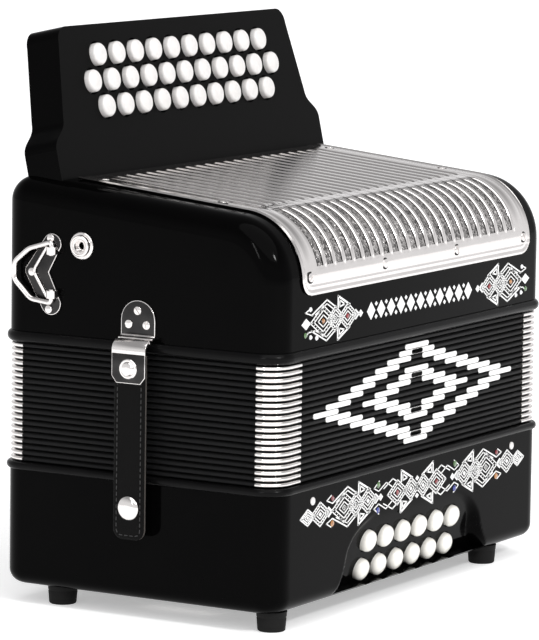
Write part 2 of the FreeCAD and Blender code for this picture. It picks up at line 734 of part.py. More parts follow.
def make_fittings():
    """The brackets of both sides and the pickup socket."""
    pieces = []
    for side, label in ((-1, "left"), (1, "right")):
        pieces.append(make_loop_bracket(side, label))
        pieces.append(make_strap_bracket(side, label))
    pieces.append(make_socket())
    node("treble_fittings", gather("treble_fittings_parts", pieces))


def rod_between(start, end, radius):
    """A round wire from one point to another, with a ball at its far end."""
    run = end - start
    wire = Part.makeCylinder(radius, run.Length, start, run)
    return wire.fuse(Part.makeSphere(radius, end))


def make_strap_loop(side, label):
    """Bent wire loop that takes the shoulder strap's hook, hinged on two pins."""
    x = side * (size("body_width") / 2 + size("loop_out"))
    y, z, half = size("loop_y"), size("loop_z"), size("loop_half")
    radius = size("wire_radius")
    corner_out, corner_in, apex_out, pin_length = 14.0, 3.0, 29.0, 7.6
    outline = [Vector(x, y, z + half), Vector(x, y + corner_out, z + half - corner_in),
               Vector(x, y + apex_out, z), Vector(x, y + corner_out, z - half + corner_in),
               Vector(x, y, z - half)]
    loop = Part.makeSphere(radius, outline[0])
    for first, second in zip(outline, outline[1:]):
        loop = loop.fuse(rod_between(first, second, radius))
    for sign in (1, -1):
        pin = Part.makeCylinder(radius, pin_length, Vector(x, y, z + sign * half), Vector(0, 0, -sign))
        loop = loop.fuse(pin)
    node("strap_loop_" + label, shaped("strap_loop_%s_wire" % label, loop.removeSplitter()))


def make_bellows_strap(side, label):
    """Leather strap that keeps the bellows shut, hinged at the treble end, snapped at the bass end."""
    eye_half, tongue_out, tongue_thick, tongue_low, tongue_tall = 5.5, 9.5, 1.4, 132.0, 18.0
    neck_out, neck_tall, leather_thick, leather_top = 7.2, 5.0, 2.4, 148.0
    eye = cylinder(label + "_strap_eye", (side_x(side, "pin_out"), "strap_y - %s" % eye_half, "pin_z"),
                   "pin_boss", 2 * eye_half, (1, 0, 0), -90.0)
    tongue = side_box(label + "_tongue", side, tongue_out, tongue_thick, "strap_y - strap_width / 2 - 0.5",
                      "strap_width + 1", tongue_low, tongue_tall)
    neck = side_box(label + "_neck", side, neck_out, tongue_out + tongue_thick - neck_out,
                    "strap_y - %s" % eye_half, 2 * eye_half, tongue_low + tongue_tall, neck_tall)
    pin_bore = cylinder(label + "_eye_bore",
                        (side_x(side, "pin_out"), "strap_y - %s" % (eye_half + 1.5), "pin_z"),
                        "pin_radius + running_gap", 2 * eye_half + 3, (1, 0, 0), -90.0)
    metal = cut(label + "_tongue_metal", fuse(label + "_tongue_body", [eye, tongue, neck]), pin_bore)
    leather = side_box(label + "_leather", side, tongue_out - leather_thick, leather_thick,
                       "strap_y - strap_width / 2", "strap_width", "strap_low",
                       "%s - strap_low" % leather_top)
    upper_cap = side_pin(label + "_upper_cap", side, tongue_out + tongue_thick, "strap_y", "upper_snap_z",
                         5.2, 2.2)
    lower_cap = side_pin(label + "_lower_cap", side, tongue_out, "strap_y", "snap_z", 6.6, 2.6)
    node("bellows_strap_" + label, gather(label + "_strap_parts", [metal, leather, upper_cap, lower_cap]))


make_bass_casing()
make_feet()
make_bass_soundboard()
make_hand_strap()
make_air_button()
make_frame("bass_bellows_frame", "bass_seam", "bellows_low")
make_bellows()
make_frame("treble_bellows_frame", "bellows_high", "treble_seam")
make_treble_casing()
make_grille()
make_fingerboard()
make_treble_soundboard()
make_fittings()
for key in treble_keys_layout():
    make_treble_key(*key)
for key in bass_keys_layout():
    make_bass_key(*key)
for hand, word in ((-1, "left"), (1, "right")):
    make_strap_loop(hand, word)
    make_bellows_strap(hand, word)

doc.recompute()
for item in doc.Objects:
    if "Invalid" in item.State or "Error" in item.State:
        raise RuntimeError("%s failed: %s" % (item.Name, item.getStatusString()))
for item in NODES:
    if item.Shape.isNull() or not item.Shape.isValid() or not item.Shape.Solids:
        raise RuntimeError("%s has no valid shape" % item.Label)

os.makedirs("parts", exist_ok=True)
for item in NODES:
    item.Shape.exportStep("parts/%s.step" % item.Label)
print("wrote %d nodes, bounds %s" % (len(NODES), Part.makeCompound([n.Shape for n in NODES]).BoundBox))
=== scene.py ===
"""Builds the finished look of a three-row button accordion around its mechanical frame."""

import json
import math
import random
import sys

import bmesh
import bpy
from bpy.props import FloatProperty, FloatVectorProperty, IntProperty, PointerProperty
from mathutils import Matrix, Vector
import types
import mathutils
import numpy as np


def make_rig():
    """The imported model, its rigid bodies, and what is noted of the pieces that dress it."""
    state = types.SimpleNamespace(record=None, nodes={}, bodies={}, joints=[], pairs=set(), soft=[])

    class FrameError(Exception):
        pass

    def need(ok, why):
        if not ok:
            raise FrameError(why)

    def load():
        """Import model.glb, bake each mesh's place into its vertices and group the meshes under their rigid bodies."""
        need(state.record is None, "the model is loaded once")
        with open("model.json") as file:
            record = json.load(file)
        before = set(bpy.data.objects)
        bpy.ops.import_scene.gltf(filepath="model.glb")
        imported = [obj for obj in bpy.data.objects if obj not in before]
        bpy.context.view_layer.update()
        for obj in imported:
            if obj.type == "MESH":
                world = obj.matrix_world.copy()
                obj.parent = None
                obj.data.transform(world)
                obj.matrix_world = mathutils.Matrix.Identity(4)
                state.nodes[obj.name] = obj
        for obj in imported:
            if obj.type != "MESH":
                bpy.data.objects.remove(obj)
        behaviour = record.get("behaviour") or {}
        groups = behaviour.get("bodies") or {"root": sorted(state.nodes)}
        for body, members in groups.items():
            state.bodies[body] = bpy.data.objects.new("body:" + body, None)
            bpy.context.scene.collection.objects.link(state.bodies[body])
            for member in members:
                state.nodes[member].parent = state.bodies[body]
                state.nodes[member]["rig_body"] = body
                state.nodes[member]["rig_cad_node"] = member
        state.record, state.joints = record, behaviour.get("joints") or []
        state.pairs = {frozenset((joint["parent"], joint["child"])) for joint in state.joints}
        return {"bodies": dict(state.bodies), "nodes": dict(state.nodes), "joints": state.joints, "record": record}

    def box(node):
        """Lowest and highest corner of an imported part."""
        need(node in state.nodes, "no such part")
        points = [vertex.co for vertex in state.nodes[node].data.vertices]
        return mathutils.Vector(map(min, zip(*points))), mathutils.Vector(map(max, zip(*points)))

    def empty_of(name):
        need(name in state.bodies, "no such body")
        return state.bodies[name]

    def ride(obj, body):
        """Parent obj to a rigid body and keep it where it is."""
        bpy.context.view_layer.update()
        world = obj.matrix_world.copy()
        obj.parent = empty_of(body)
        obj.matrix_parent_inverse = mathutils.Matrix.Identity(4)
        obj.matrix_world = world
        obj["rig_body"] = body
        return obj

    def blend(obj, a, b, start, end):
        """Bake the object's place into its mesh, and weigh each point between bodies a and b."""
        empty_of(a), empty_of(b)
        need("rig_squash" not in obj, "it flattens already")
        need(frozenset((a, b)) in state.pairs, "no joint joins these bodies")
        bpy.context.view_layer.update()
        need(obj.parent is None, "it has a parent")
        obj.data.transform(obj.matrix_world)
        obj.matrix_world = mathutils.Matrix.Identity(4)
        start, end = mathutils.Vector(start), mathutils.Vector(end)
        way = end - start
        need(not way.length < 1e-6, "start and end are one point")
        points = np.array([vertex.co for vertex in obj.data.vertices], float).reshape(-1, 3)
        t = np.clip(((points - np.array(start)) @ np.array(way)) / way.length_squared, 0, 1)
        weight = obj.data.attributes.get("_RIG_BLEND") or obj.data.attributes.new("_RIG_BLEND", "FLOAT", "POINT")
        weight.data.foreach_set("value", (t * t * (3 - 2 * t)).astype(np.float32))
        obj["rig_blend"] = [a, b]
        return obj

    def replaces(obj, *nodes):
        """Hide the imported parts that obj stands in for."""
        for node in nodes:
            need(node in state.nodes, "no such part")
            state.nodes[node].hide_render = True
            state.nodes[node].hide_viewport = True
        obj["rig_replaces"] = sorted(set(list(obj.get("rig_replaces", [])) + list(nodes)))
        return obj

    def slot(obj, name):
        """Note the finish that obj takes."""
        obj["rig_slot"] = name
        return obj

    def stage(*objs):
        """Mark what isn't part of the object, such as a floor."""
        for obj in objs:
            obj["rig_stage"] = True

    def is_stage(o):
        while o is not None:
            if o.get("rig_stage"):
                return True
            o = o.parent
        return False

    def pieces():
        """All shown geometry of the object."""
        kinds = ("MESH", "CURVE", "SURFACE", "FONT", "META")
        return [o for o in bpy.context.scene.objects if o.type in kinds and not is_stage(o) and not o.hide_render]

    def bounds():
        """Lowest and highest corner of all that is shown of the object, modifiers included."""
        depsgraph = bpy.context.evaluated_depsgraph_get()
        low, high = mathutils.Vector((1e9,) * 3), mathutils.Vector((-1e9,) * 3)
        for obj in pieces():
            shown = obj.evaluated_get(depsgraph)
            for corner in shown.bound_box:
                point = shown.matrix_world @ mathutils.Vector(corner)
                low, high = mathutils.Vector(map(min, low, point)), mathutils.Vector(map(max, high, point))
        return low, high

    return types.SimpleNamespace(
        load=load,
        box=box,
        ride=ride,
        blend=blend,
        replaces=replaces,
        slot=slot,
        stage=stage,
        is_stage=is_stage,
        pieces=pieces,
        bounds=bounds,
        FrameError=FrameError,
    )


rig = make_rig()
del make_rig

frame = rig.load()
CAD_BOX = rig.bounds()

bl_info = {
    "name": "Button Accordion",
    "version": (1, 0, 0),
    "blender": (4, 5, 0),
    "location": "View3D > Sidebar > Accordion",
    "description": "Builds a three-row button accordion around its mechanical frame",
    "category": "Object",
}

MM = 0.001
BASS = "bass_end"
TREBLE = "treble_end"
SIDES = ((-1, "left"), (1, "right"))

# How close two points of one place lie in the frame's meshes.
FRAME_WELD = 0.002 * MM

# Treble buttons: their spacing, and the middle of the fingerboard's face.
BUTTON_PITCH, ROW_PITCH = 19.5 * MM, 14.7 * MM
BOARD_Y, BOARD_Z = 68.4 * MM, 289.3 * MM

# Side fittings: the strap loops' hinge line, the bellows straps' middle and their lower studs.
LOOP_OUT, LOOP_Y, LOOP_Z = 3.5 * MM, 54.0 * MM, 188.3 * MM
STRAP_Y, STUD_Z = -1.0 * MM, 63.5 * MM

# Measures read from the frame.
SHELL_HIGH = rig.box("treble_casing")[1]
HALF_X, HALF_Y = SHELL_HIGH.x, SHELL_HIGH.y
BASS_LOW, BASS_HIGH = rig.box("bass_casing")
FOLDS_LOW, FOLDS_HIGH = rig.box("bellows")
GRILLE_LOW, GRILLE_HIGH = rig.box("treble_grille")
FRONT_Y = -HALF_Y


# ------------------------------------------------------------------ settings

def in_mm(pairs):
    return [(a * MM, b * MM) for a, b in pairs]


def length(name, description, value, **more):
    return FloatProperty(name=name, description=description, default=value, unit="LENGTH", subtype="DISTANCE",
                         min=0.0, precision=5, **more)


def angle(name, description, degrees):
    return FloatProperty(name=name, description=description, default=math.radians(degrees), unit="ROTATION",
                         subtype="ANGLE")


def colour(name, description, value):
    return FloatVectorProperty(name=name, description=description, default=value, subtype="COLOR", size=3,
                               min=0.0, max=1.0)


class AccordionCasings(bpy.types.PropertyGroup):
    corner: length("Corner radius", "Radius of the casings' upright corners", 14 * MM)
    wall: length("Wall", "Thickness of the casings' walls", 4 * MM)
    foot_round: length("Bottom rounding", "Radius of the bass casing's bottom edge", 8 * MM)
    ledge: length("Ledge", "Height of the bottom board in front of the bass buttons", 2.5 * MM)
    panel_top: length("Panel top", "Height at which the slanted bass panel meets the front", 52.1 * MM)
    panel_tilt: angle("Panel tilt", "Slant of the bass button panel", 14.8)
    scoop_half: length("Scoop half width", "Half width of the bass scoop at the ledge", 91 * MM)
    scoop_wall: length("Scoop wall", "Width over which the scoop's side walls turn inwards", 6.5 * MM)
    lacquer: colour("Lacquer", "Colour of the polished lacquer", (0.0006, 0.0006, 0.0007))


class AccordionBellows(bpy.types.PropertyGroup):
    folds: IntProperty(name="Folds", description="Number of folds", default=20, min=4)
    valley: length("Valley", "Depth of the valleys between folds", 9 * MM)
    bead: FloatProperty(name="Bead", description="Half width of a ridge's bead, as a share of a fold",
                        default=0.33)
    cap_side: length("Cap, side leg", "Reach of a corner cap along the side", 14 * MM)
    cap_front: length("Cap, front leg", "Reach of a corner cap along the front", 25 * MM)
    cloth: colour("Cloth", "Colour of the bellows cloth", (0.003, 0.003, 0.0033))


class AccordionGrille(bpy.types.PropertyGroup):
    roll: length("Roll radius", "Radius of the rolled front edge", 37 * MM)
    roll_height: length("Roll height", "Height of the rolled edge's centre", 190 * MM)
    slope: angle("Top slope", "Rise of the top towards the keyboard", 5.6)
    ribs: IntProperty(name="Ribs", description="Number of ribs across the grille", default=22, min=4)
    border: length("Border", "Width of the plain border at each side", 17 * MM)
    nickel: colour("Nickel", "Colour of the plated metal", (0.83, 0.80, 0.785))


class AccordionKeys(bpy.types.PropertyGroup):
    tilt: angle("Board tilt", "Lean of the fingerboard", 12.5)
    radius: length("Treble button radius", "Radius of a treble button", 6.4 * MM)
    proud: length("Treble button height", "How far a treble button stands out", 4 * MM)
    bass_radius: length("Bass button radius", "Radius of a bass button", 6.35 * MM)
    pearl: colour("Pearl", "Colour of the treble buttons", (0.66, 0.65, 0.635))
    ivory: colour("Ivory", "Colour of the bass buttons", (0.84, 0.82, 0.765))


class AccordionOrnament(bpy.types.PropertyGroup):
    centre: FloatProperty(name="Centre", description="Sideways place of both ornaments' middle",
                          default=1.5 * MM, unit="LENGTH", subtype="DISTANCE")
    treble_level: length("Treble level", "Height of the treble ornament", 167.6 * MM)
    bass_level: length("Bass level", "Height of the bass ornament", 61.1 * MM)
    stroke: length("Stroke", "Width of the inlaid lines", 0.62 * MM)
    relief: length("Relief", "How far the inlay stands out", 0.25 * MM)
    white: colour("Inlay", "Colour of the inlay", (0.86, 0.86, 0.85))


class AccordionStage(bpy.types.PropertyGroup):
    floor: length("Floor", "Half width of the floor", 14.0)
    place: FloatVectorProperty(name="Camera place", description="Where the camera stands", unit="LENGTH",
                               subtype="TRANSLATION", size=3, default=(-2.1211, -1.2429, 0.4715))
    yaw: angle("Camera yaw", "Turn of the camera from the front", 59.465)
    pitch: angle("Camera pitch", "How far the camera looks down", 7.462)
    roll: angle("Camera roll", "Turn of the camera about its own line of sight", 0.827)
    lens: FloatProperty(name="Lens", description="Focal length", default=242.5, unit="CAMERA")


GROUPS = (("casings", AccordionCasings), ("bellows", AccordionBellows), ("grille", AccordionGrille),
          ("keys", AccordionKeys), ("ornament", AccordionOrnament), ("stage", AccordionStage))


def settings(group):
    return getattr(bpy.context.scene, "accordion_" + group)


# ------------------------------------------------------------ shader writing

class Value:
    """A shader value. Arithmetic on it adds Math nodes."""

    def __init__(self, finish, socket):
        self.finish = finish
        self.socket = socket

    def _math(self, operation, first, second=None):
        sockets = {0: first} if second is None else {0: first, 1: second}
        return self.finish.add("ShaderNodeMath", {"operation": operation}, sockets)

    def __add__(self, other):
        return self._math("ADD", self, other)

    __radd__ = __add__

    def __sub__(self, other):
        return self._math("SUBTRACT", self, other)

    def __mul__(self, other):
        return self._math("MULTIPLY", self, other)

    __rmul__ = __mul__

    def wave(self):
        return self._math("SINE", self)

    def size(self):
        return self._math("ABSOLUTE", self)


class Finish:
    """One material, written node by node around a Principled surface."""

    def __init__(self, name, **fixed):
        self.material = bpy.data.materials.new(name)
        self.material.use_nodes = True
        self.tree = self.material.node_tree
        self.tree.nodes.clear()
        self.surface = self.tree.nodes.new("ShaderNodeBsdfPrincipled")
        output = self.tree.nodes.new("ShaderNodeOutputMaterial")
        self.tree.links.new(self.surface.outputs[0], output.inputs["Surface"])
        for name, value in fixed.items():
            socket = self.surface.inputs[name.replace("_", " ").title().replace("Ior", "IOR")]
            socket.default_value = (*value, 1.0) if isinstance(value, tuple) else value
        self.place = self.add("ShaderNodeTexCoord", {}, {}, "Object")

    def add(self, kind, chosen, sockets, output=0):
        """Add a node: its settings first, then its sockets' values or links."""
        node = self.tree.nodes.new(kind)
        for name, value in chosen.items():
            setattr(node, name, value)
        for name, value in sockets.items():
            if isinstance(value, Value):
                self.tree.links.new(value.socket, node.inputs[name])
            else:
                node.inputs[name].default_value = value
        return Value(self, node.outputs[output])

    def noise(self, scale, detail=3.0, roughness=0.5, place=None, distortion=0.0):
        return self.add("ShaderNodeTexNoise", {}, {
            "Vector": place or self.place, "Scale": scale, "Detail": detail, "Roughness": roughness,
            "Distortion": distortion})

    def cells(self, scale, output="Distance"):
        return self.add("ShaderNodeTexVoronoi", {}, {"Vector": self.place, "Scale": scale}, output)

    def stretched(self, scale):
        return self.add("ShaderNodeMapping", {}, {"Vector": self.place, "Scale": scale})

    def axis(self, letter):
        return self.add("ShaderNodeSeparateXYZ", {}, {0: self.place}, letter)

    def blend(self, mask, first, second):
        """Colour between two others; first and second are colours or Values."""
        def rgba(shade):
            return shade if isinstance(shade, Value) else (*shade, 1.0)
        return self.add("ShaderNodeMix", {"data_type": "RGBA"},
                        {"Factor": mask, 6: rgba(first), 7: rgba(second)}, 2)

    def drive(self, **sockets):
        for name, value in sockets.items():
            self.tree.links.new(value.socket, self.surface.inputs[name.replace("_", " ").title()])
        return self

    def shaded(self, mask, first, second, rough, gain):
        """One mask for both: the colour between two others, and a roughness that rises by a gain."""
        return self.drive(base_color=self.blend(mask, first, second), roughness=rough + mask * gain)

    def bump(self, height, strength, distance=0.0002):
        """Let a height move the surface's normal."""
        sockets = {"Strength": strength, "Distance": distance, "Height": height}
        return self.drive(normal=self.add("ShaderNodeBump", {}, sockets))


FINISHES = {}


def finish_named(name):
    """Each finish is written once, the first time a piece asks for it."""
    if name not in FINISHES:
        made = gem_finish(name) if name in GEMS else globals()["finish_" + name]()
        FINISHES[name] = made.material
    return FINISHES[name]


def finish_lacquer():
    """Deep black polished lacquer with the faint waviness of hand polishing."""
    made = Finish("lacquer", specular_ior_level=0.03)
    cloud = made.noise(35.0, 4.0)
    hazes = made.noise(420.0, 2.0)
    shade = made.blend(cloud, tuple(settings("casings").lacquer), (0.0013, 0.0012, 0.0012))
    made.drive(base_color=shade, roughness=0.05 + cloud * 0.05 + hazes * 0.025)
    return made.bump(made.noise(55.0, 1.0) + hazes * 0.03, 0.05, 0.0004)


def finish_frame_lacquer():
    """Black paint on the bellows frames, a little duller than the casings."""
    made = Finish("frame_lacquer", specular_ior_level=0.08)
    cloud = made.noise(80.0, 4.0)
    made.shaded(cloud, (0.002, 0.002, 0.0022), (0.0042, 0.004, 0.0041), 0.16, 0.12)
    return made.bump(made.noise(600.0, 3.0), 0.08)


def finish_satin_board():
    """Satin black face of the fingerboard, with fine rubbed grain."""
    made = Finish("satin_board", specular_ior_level=0.04)
    cloud = made.noise(40.0, 5.0)
    grain = made.noise(260.0, 4.0, place=made.stretched((1.0, 6.0, 6.0)))
    shade = made.blend(cloud, (0.0010, 0.0010, 0.0010), (0.0022, 0.0021, 0.0021))
    made.drive(base_color=shade, roughness=0.34 + cloud * 0.10 + grain * 0.06)
    return made.bump(grain, 0.10, 0.0001)


def finish_pearl():
    """Mother-of-pearl plastic: soft swirls of white and pale grey."""
    made = Finish("pearl", coat_weight=0.6, coat_roughness=0.04, specular_ior_level=0.55)
    base = Vector(settings("keys").pearl)
    swirl = made.noise(190.0, 3.0, 0.55, distortion=1.6)
    veins = made.noise(75.0, 5.0, 0.6, distortion=2.5)
    shade = made.blend(swirl, base * 0.80, base * 1.12)
    rose = made.blend((veins - 0.45).size() * 2.2, (0.86, 0.82, 0.80), (0.78, 0.80, 0.82))
    both = made.blend(0.35 + swirl * 0.2, shade, rose)
    made.drive(base_color=both, roughness=0.14 + swirl * 0.10)
    return made.bump(swirl, 0.04, 0.0001)


def finish_ivory():
    """Warm white cast plastic."""
    made = Finish("ivory", coat_weight=0.45, coat_roughness=0.06, subsurface_weight=0.0)
    base = Vector(settings("keys").ivory)
    cloud = made.noise(110.0, 4.0, distortion=0.8)
    made.shaded(cloud, base * 0.93, base * 1.08, 0.20, 0.10)
    return made.bump(made.noise(700.0, 2.0), 0.03, 0.0001)


def finish_nickel():
    """Bright nickel plate with polishing marks and faint clouding."""
    made = Finish("nickel", metallic=1.0)
    base = Vector(settings("grille").nickel)
    cloud = made.noise(60.0, 5.0)
    marks = made.noise(900.0, 2.0, place=made.stretched((1.0, 0.06, 0.06)))
    shade = made.blend(cloud, base * 0.92, base * 1.06)
    made.drive(base_color=shade, roughness=0.07 + cloud * 0.06 + marks * 0.07)
    return made.bump(marks, 0.03, 0.00005)


def finish_plate_face():
    """Flat faces of the side fittings: plate whose colour is painted dark grey, a painted reflection of a dark room.
    """
    made = Finish("plate_face", metallic=1.0)
    cloud = made.noise(90.0, 5.0)
    marks = made.noise(900.0, 2.0, place=made.stretched((0.06, 1.0, 0.06)))
    # Dark grey colour: a painted reflection of a dark room, not the plate's own colour.
    made.drive(base_color=made.blend(cloud, (0.018, 0.018, 0.019), (0.060, 0.058, 0.057)),
               roughness=0.12 + cloud * 0.10 + marks * 0.08)
    return made.bump(marks, 0.03, 0.00005)


def finish_crystal():
    """Chased metal of the rolled ribs: small facets that throw light every way, each one's colour painted between near
    black and bright at random, painted glints and painted dark reflections.
    """
    made = Finish("crystal", metallic=1.0)
    base = Vector(settings("grille").nickel)
    facets = made.cells(620.0)
    tint = made.cells(620.0, output="Color")
    fine = made.cells(1500.0)
    # Each cell's colour between near black and bright: painted glints and painted dark reflections of the chased
    # facets.
    grey = made.add("ShaderNodeRGBToBW", {}, {0: tint})
    made.shaded(grey, base * 0.08, base * 0.88, 0.10, 0.30)
    return made.bump(facets + fine * 0.4, 0.85, 0.0007)


def finish_grille_cloth():
    """Black woven cloth behind the grille."""
    made = Finish("grille_cloth", sheen_weight=0.15)
    weave = (made.axis("X") * 5200.0).wave() * (made.axis("Y") * 5200.0).wave()
    shade = made.blend(weave * 0.5 + 0.5, (0.003, 0.003, 0.003), (0.012, 0.012, 0.012))
    made.drive(base_color=shade, roughness=0.8 + weave * 0.08)
    return made.bump(weave, 0.3, 0.0002)


def finish_cloth():
    """Black calico of the bellows, with a fine weave and soft clouds of lighter, rougher cloth."""
    made = Finish("cloth", sheen_weight=0.02, specular_ior_level=0.12)
    fine = 7000.0
    weave = (made.axis("X") * fine).wave() + (made.axis("Z") * fine).wave() + (made.axis("Y") * fine).wave()
    cloud = made.noise(45.0, 5.0)
    base = Vector(settings("bellows").cloth)
    made.shaded(cloud, base * 0.7, base * 1.6, 0.42, 0.18)
    return made.bump(weave * 0.25 + made.noise(1400.0, 2.0), 0.18, 0.00015)


def finish_leather():
    """Smooth black strap leather with a fine pebble and soft creases."""
    made = Finish("leather", specular_ior_level=0.07)
    pebble = made.cells(1500.0)
    crease = made.noise(130.0, 5.0, 0.6)
    made.shaded(crease, (0.0012, 0.0012, 0.0013), (0.0030, 0.0028, 0.0027), 0.36, 0.22)
    return made.bump(pebble + crease * 0.6, 0.35, 0.00025)


def finish_leather_edge():
    """Raw grey-brown edge of the cut leather."""
    made = Finish("leather_edge")
    layers = made.noise(1600.0, 4.0, place=made.stretched((1.0, 0.15, 0.15)))
    made.shaded(layers, (0.020, 0.018, 0.016), (0.075, 0.065, 0.058), 0.62, 0.2)
    return made.bump(layers, 0.3, 0.0002)


def finish_thread():
    made = Finish("thread", sheen_weight=0.05)
    twist = made.noise(2600.0, 2.0)
    made.shaded(twist, (0.008, 0.008, 0.0085), (0.022, 0.0215, 0.021), 0.55, 0.2)
    return made.bump(twist, 0.3, 0.0001)


def finish_rubber():
    """Matte moulded rubber with a dusty bloom."""
    made = Finish("rubber", specular_ior_level=0.15)
    bloom = made.noise(160.0, 5.0, 0.65)
    made.shaded(bloom, (0.004, 0.004, 0.004), (0.010, 0.0098, 0.0096), 0.62, 0.2)
    return made.bump(made.noise(1800.0, 3.0), 0.25, 0.0002)


def finish_inlay():
    """White enamel of the inlaid lines."""
    made = Finish("inlay", coat_weight=0.3, coat_roughness=0.1)
    base = Vector(settings("ornament").white)
    cloud = made.noise(300.0, 3.0)
    made.shaded(cloud, base * 0.93, base * 1.08, 0.28, 0.12)
    return made.bump(made.noise(900.0, 2.0), 0.05, 0.0001)


# Each stone's deep and bright colours; the cells between them are a painted sparkle.
GEMS = {"gem_red": ((0.08, 0.002, 0.004), (0.34, 0.02, 0.03)),
        "gem_amber": ((0.20, 0.06, 0.01), (0.52, 0.24, 0.07)),
        "gem_green": ((0.01, 0.06, 0.015), (0.14, 0.26, 0.09)),
        "gem_blue": ((0.006, 0.01, 0.12), (0.06, 0.08, 0.36)),
        "gem_clear": ((0.55, 0.56, 0.60), (1.0, 1.0, 1.0))}


def gem_finish(name):
    """Cut glass: its colour painted between a deep and a bright version in small cells, a painted sparkle of the cut
    facets.
    """
    made = Finish(name, coat_weight=1.0, coat_roughness=0.0, specular_ior_level=0.9)
    fire = made.cells(700.0)
    made.shaded(fire, *GEMS[name], 0.04, 0.1)
    return made


def finish_spruce():
    """Bare spruce, straight grained."""
    made = Finish("spruce")
    grain = made.noise(90.0, 4.0, place=made.stretched((0.12, 1.6, 1.6)), distortion=0.6)
    made.shaded(grain, (0.40, 0.25, 0.12), (0.72, 0.54, 0.33), 0.5, 0.2)
    return made.bump(grain, 0.15, 0.0003)


def finish_alloy():
    """Stamped aluminium of the levers."""
    made = Finish("alloy", metallic=1.0)
    marks = made.noise(700.0, 3.0, place=made.stretched((1.0, 0.1, 0.1)))
    made.shaded(marks, (0.55, 0.56, 0.57), (0.72, 0.72, 0.73), 0.28, 0.2)
    return made.bump(marks, 0.1, 0.0001)


def finish_felt():
    """Red felt facing of the pallets."""
    made = Finish("felt", sheen_weight=0.6)
    fibre = made.noise(900.0, 5.0, 0.7)
    made.shaded(fibre, (0.16, 0.012, 0.012), (0.34, 0.04, 0.035), 0.85, 0.1)
    return made.bump(fibre, 0.6, 0.0006)


# Near-black colour for the floor of a hole and the rings under screw heads: painted shade and painted shadow.
def finish_dark_hole():
    made = Finish("dark_hole")
    dust = made.noise(500.0, 3.0)
    made.shaded(dust, (0.001, 0.001, 0.001), (0.004, 0.004, 0.004), 0.6, 0.2)
    return made


# ---------------------------------------------------------------- mesh tools

def new_object(name, mesh):
    obj = bpy.data.objects.new(name, mesh)
    bpy.context.scene.collection.objects.link(obj)
    return obj


def mesh_object(name, points, faces):
    mesh = bpy.data.meshes.new(name)
    mesh.from_pydata([tuple(p) for p in points], [], faces)
    mesh.update()
    return new_object(name, mesh)


def mended(mesh, weld=0.0, facing=False):
    """Merge points closer than a distance, and point every face of a closed shell outwards."""
    made = bmesh.new()
    made.from_mesh(mesh)
    if weld:
        bmesh.ops.remove_doubles(made, verts=made.verts, dist=weld)
    if facing:
        bmesh.ops.recalc_face_normals(made, faces=made.faces)
    made.to_mesh(mesh)
    made.free()


def outward(obj):
    mended(obj.data, 1e-6, True)
    return obj


def smooth(obj, degrees=35.0):
    obj.data.shade_smooth()
    obj.data.set_sharp_from_angle(angle=math.radians(degrees))
    return obj


def baked(obj):
    """Turn an object's modifiers into plain mesh."""
    graph = bpy.context.evaluated_depsgraph_get()
    mesh = bpy.data.meshes.new_from_object(obj.evaluated_get(graph))
    obj.modifiers.clear()
    obj.data = mesh
    return obj


def carved(obj, tool):
    """Cut a tool's shape out of an object; the tool is used up."""
    modifier = obj.modifiers.new("Cut", "BOOLEAN")
    modifier.operation = "DIFFERENCE"
    modifier.solver = "EXACT"
    modifier.object = tool
    baked(obj)
    bpy.data.objects.remove(tool)
    return obj


def bevelled(obj, width):
    """Soften an object's sharp edges."""
    modifier = obj.modifiers.new("Bevel", "BEVEL")
    modifier.width = width
    modifier.segments = 2
    modifier.limit_method = "ANGLE"
    modifier.angle_limit = math.radians(35.0)
    modifier.harden_normals = False
    return baked(obj)


def joined(name, objects):
    """Join objects into one, keeping each one's materials."""
    kept = objects[0]
    if len(objects) > 1:
        with bpy.context.temp_override(active_object=kept, selected_editable_objects=objects,
                                       selected_objects=objects):
            bpy.ops.object.join()
    kept.name = name
    kept.data.name = name
    return kept


def painted(obj, *finishes):
    """Give an object its finishes, in the order of its material slots."""
    obj.data.materials.clear()
    for finish in finishes:
        obj.data.materials.append(finish_named(finish))
    return obj


def dark_faced(obj):
    """Paint a side plate: bright nickel edges round flat faces painted dark grey, a painted reflection of a dark room.
    """
    painted(obj, "nickel", "plate_face")
    for face in obj.data.polygons:
        face.material_index = int(abs(face.normal.x) > 0.98)
    return obj


def mounted(obj, body, slot, replaced=()):
    """Hang a finished piece on its body, name its slot and hide the nodes it stands for."""
    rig.ride(obj, body)
    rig.slot(obj, slot)
    if replaced:
        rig.replaces(obj, *replaced)
    return obj


def tube_faces(rings, count, capped=True):
    """Quads between successive rings of count points, with the ends closed."""
    faces = []
    for row in range(rings - 1):
        for i in range(count):
            j = (i + 1) % count
            faces.append((row * count + i, row * count + j, (row + 1) * count + j, (row + 1) * count + i))
    if capped:
        faces.append(tuple(reversed(range(count))))
        faces.append(tuple((rings - 1) * count + i for i in range(count)))
    return faces


def basis(axis):
    """Two directions square to an axis."""
    axis = Vector(axis).normalized()
    side = axis.cross(Vector((0, 0, 1)) if abs(axis.z) < 0.9 else Vector((1, 0, 0))).normalized()
    return axis, side, axis.cross(side)


def turned(name, centre, axis, profile, segments=32):
    """A turned piece: profile is (radius, height) pairs, from its foot to its tip."""
    axis, side, other = basis(axis)
    centre = Vector(centre)
    points = []
    for radius, height in profile:
        for i in range(segments):
            turn = 2 * math.pi * i / segments
            spoke = side * math.cos(turn) + other * math.sin(turn)
            points.append(centre + axis * height + spoke * max(radius, 1e-7))
    obj = mesh_object(name, points, tube_faces(len(profile), segments))
    return smooth(outward(obj))


def upright(name, profile, segments):
    """A turned piece on the vertical axis through the origin, to be repeated."""
    return turned(name, (0, 0, 0), (0, 0, 1), profile, segments)


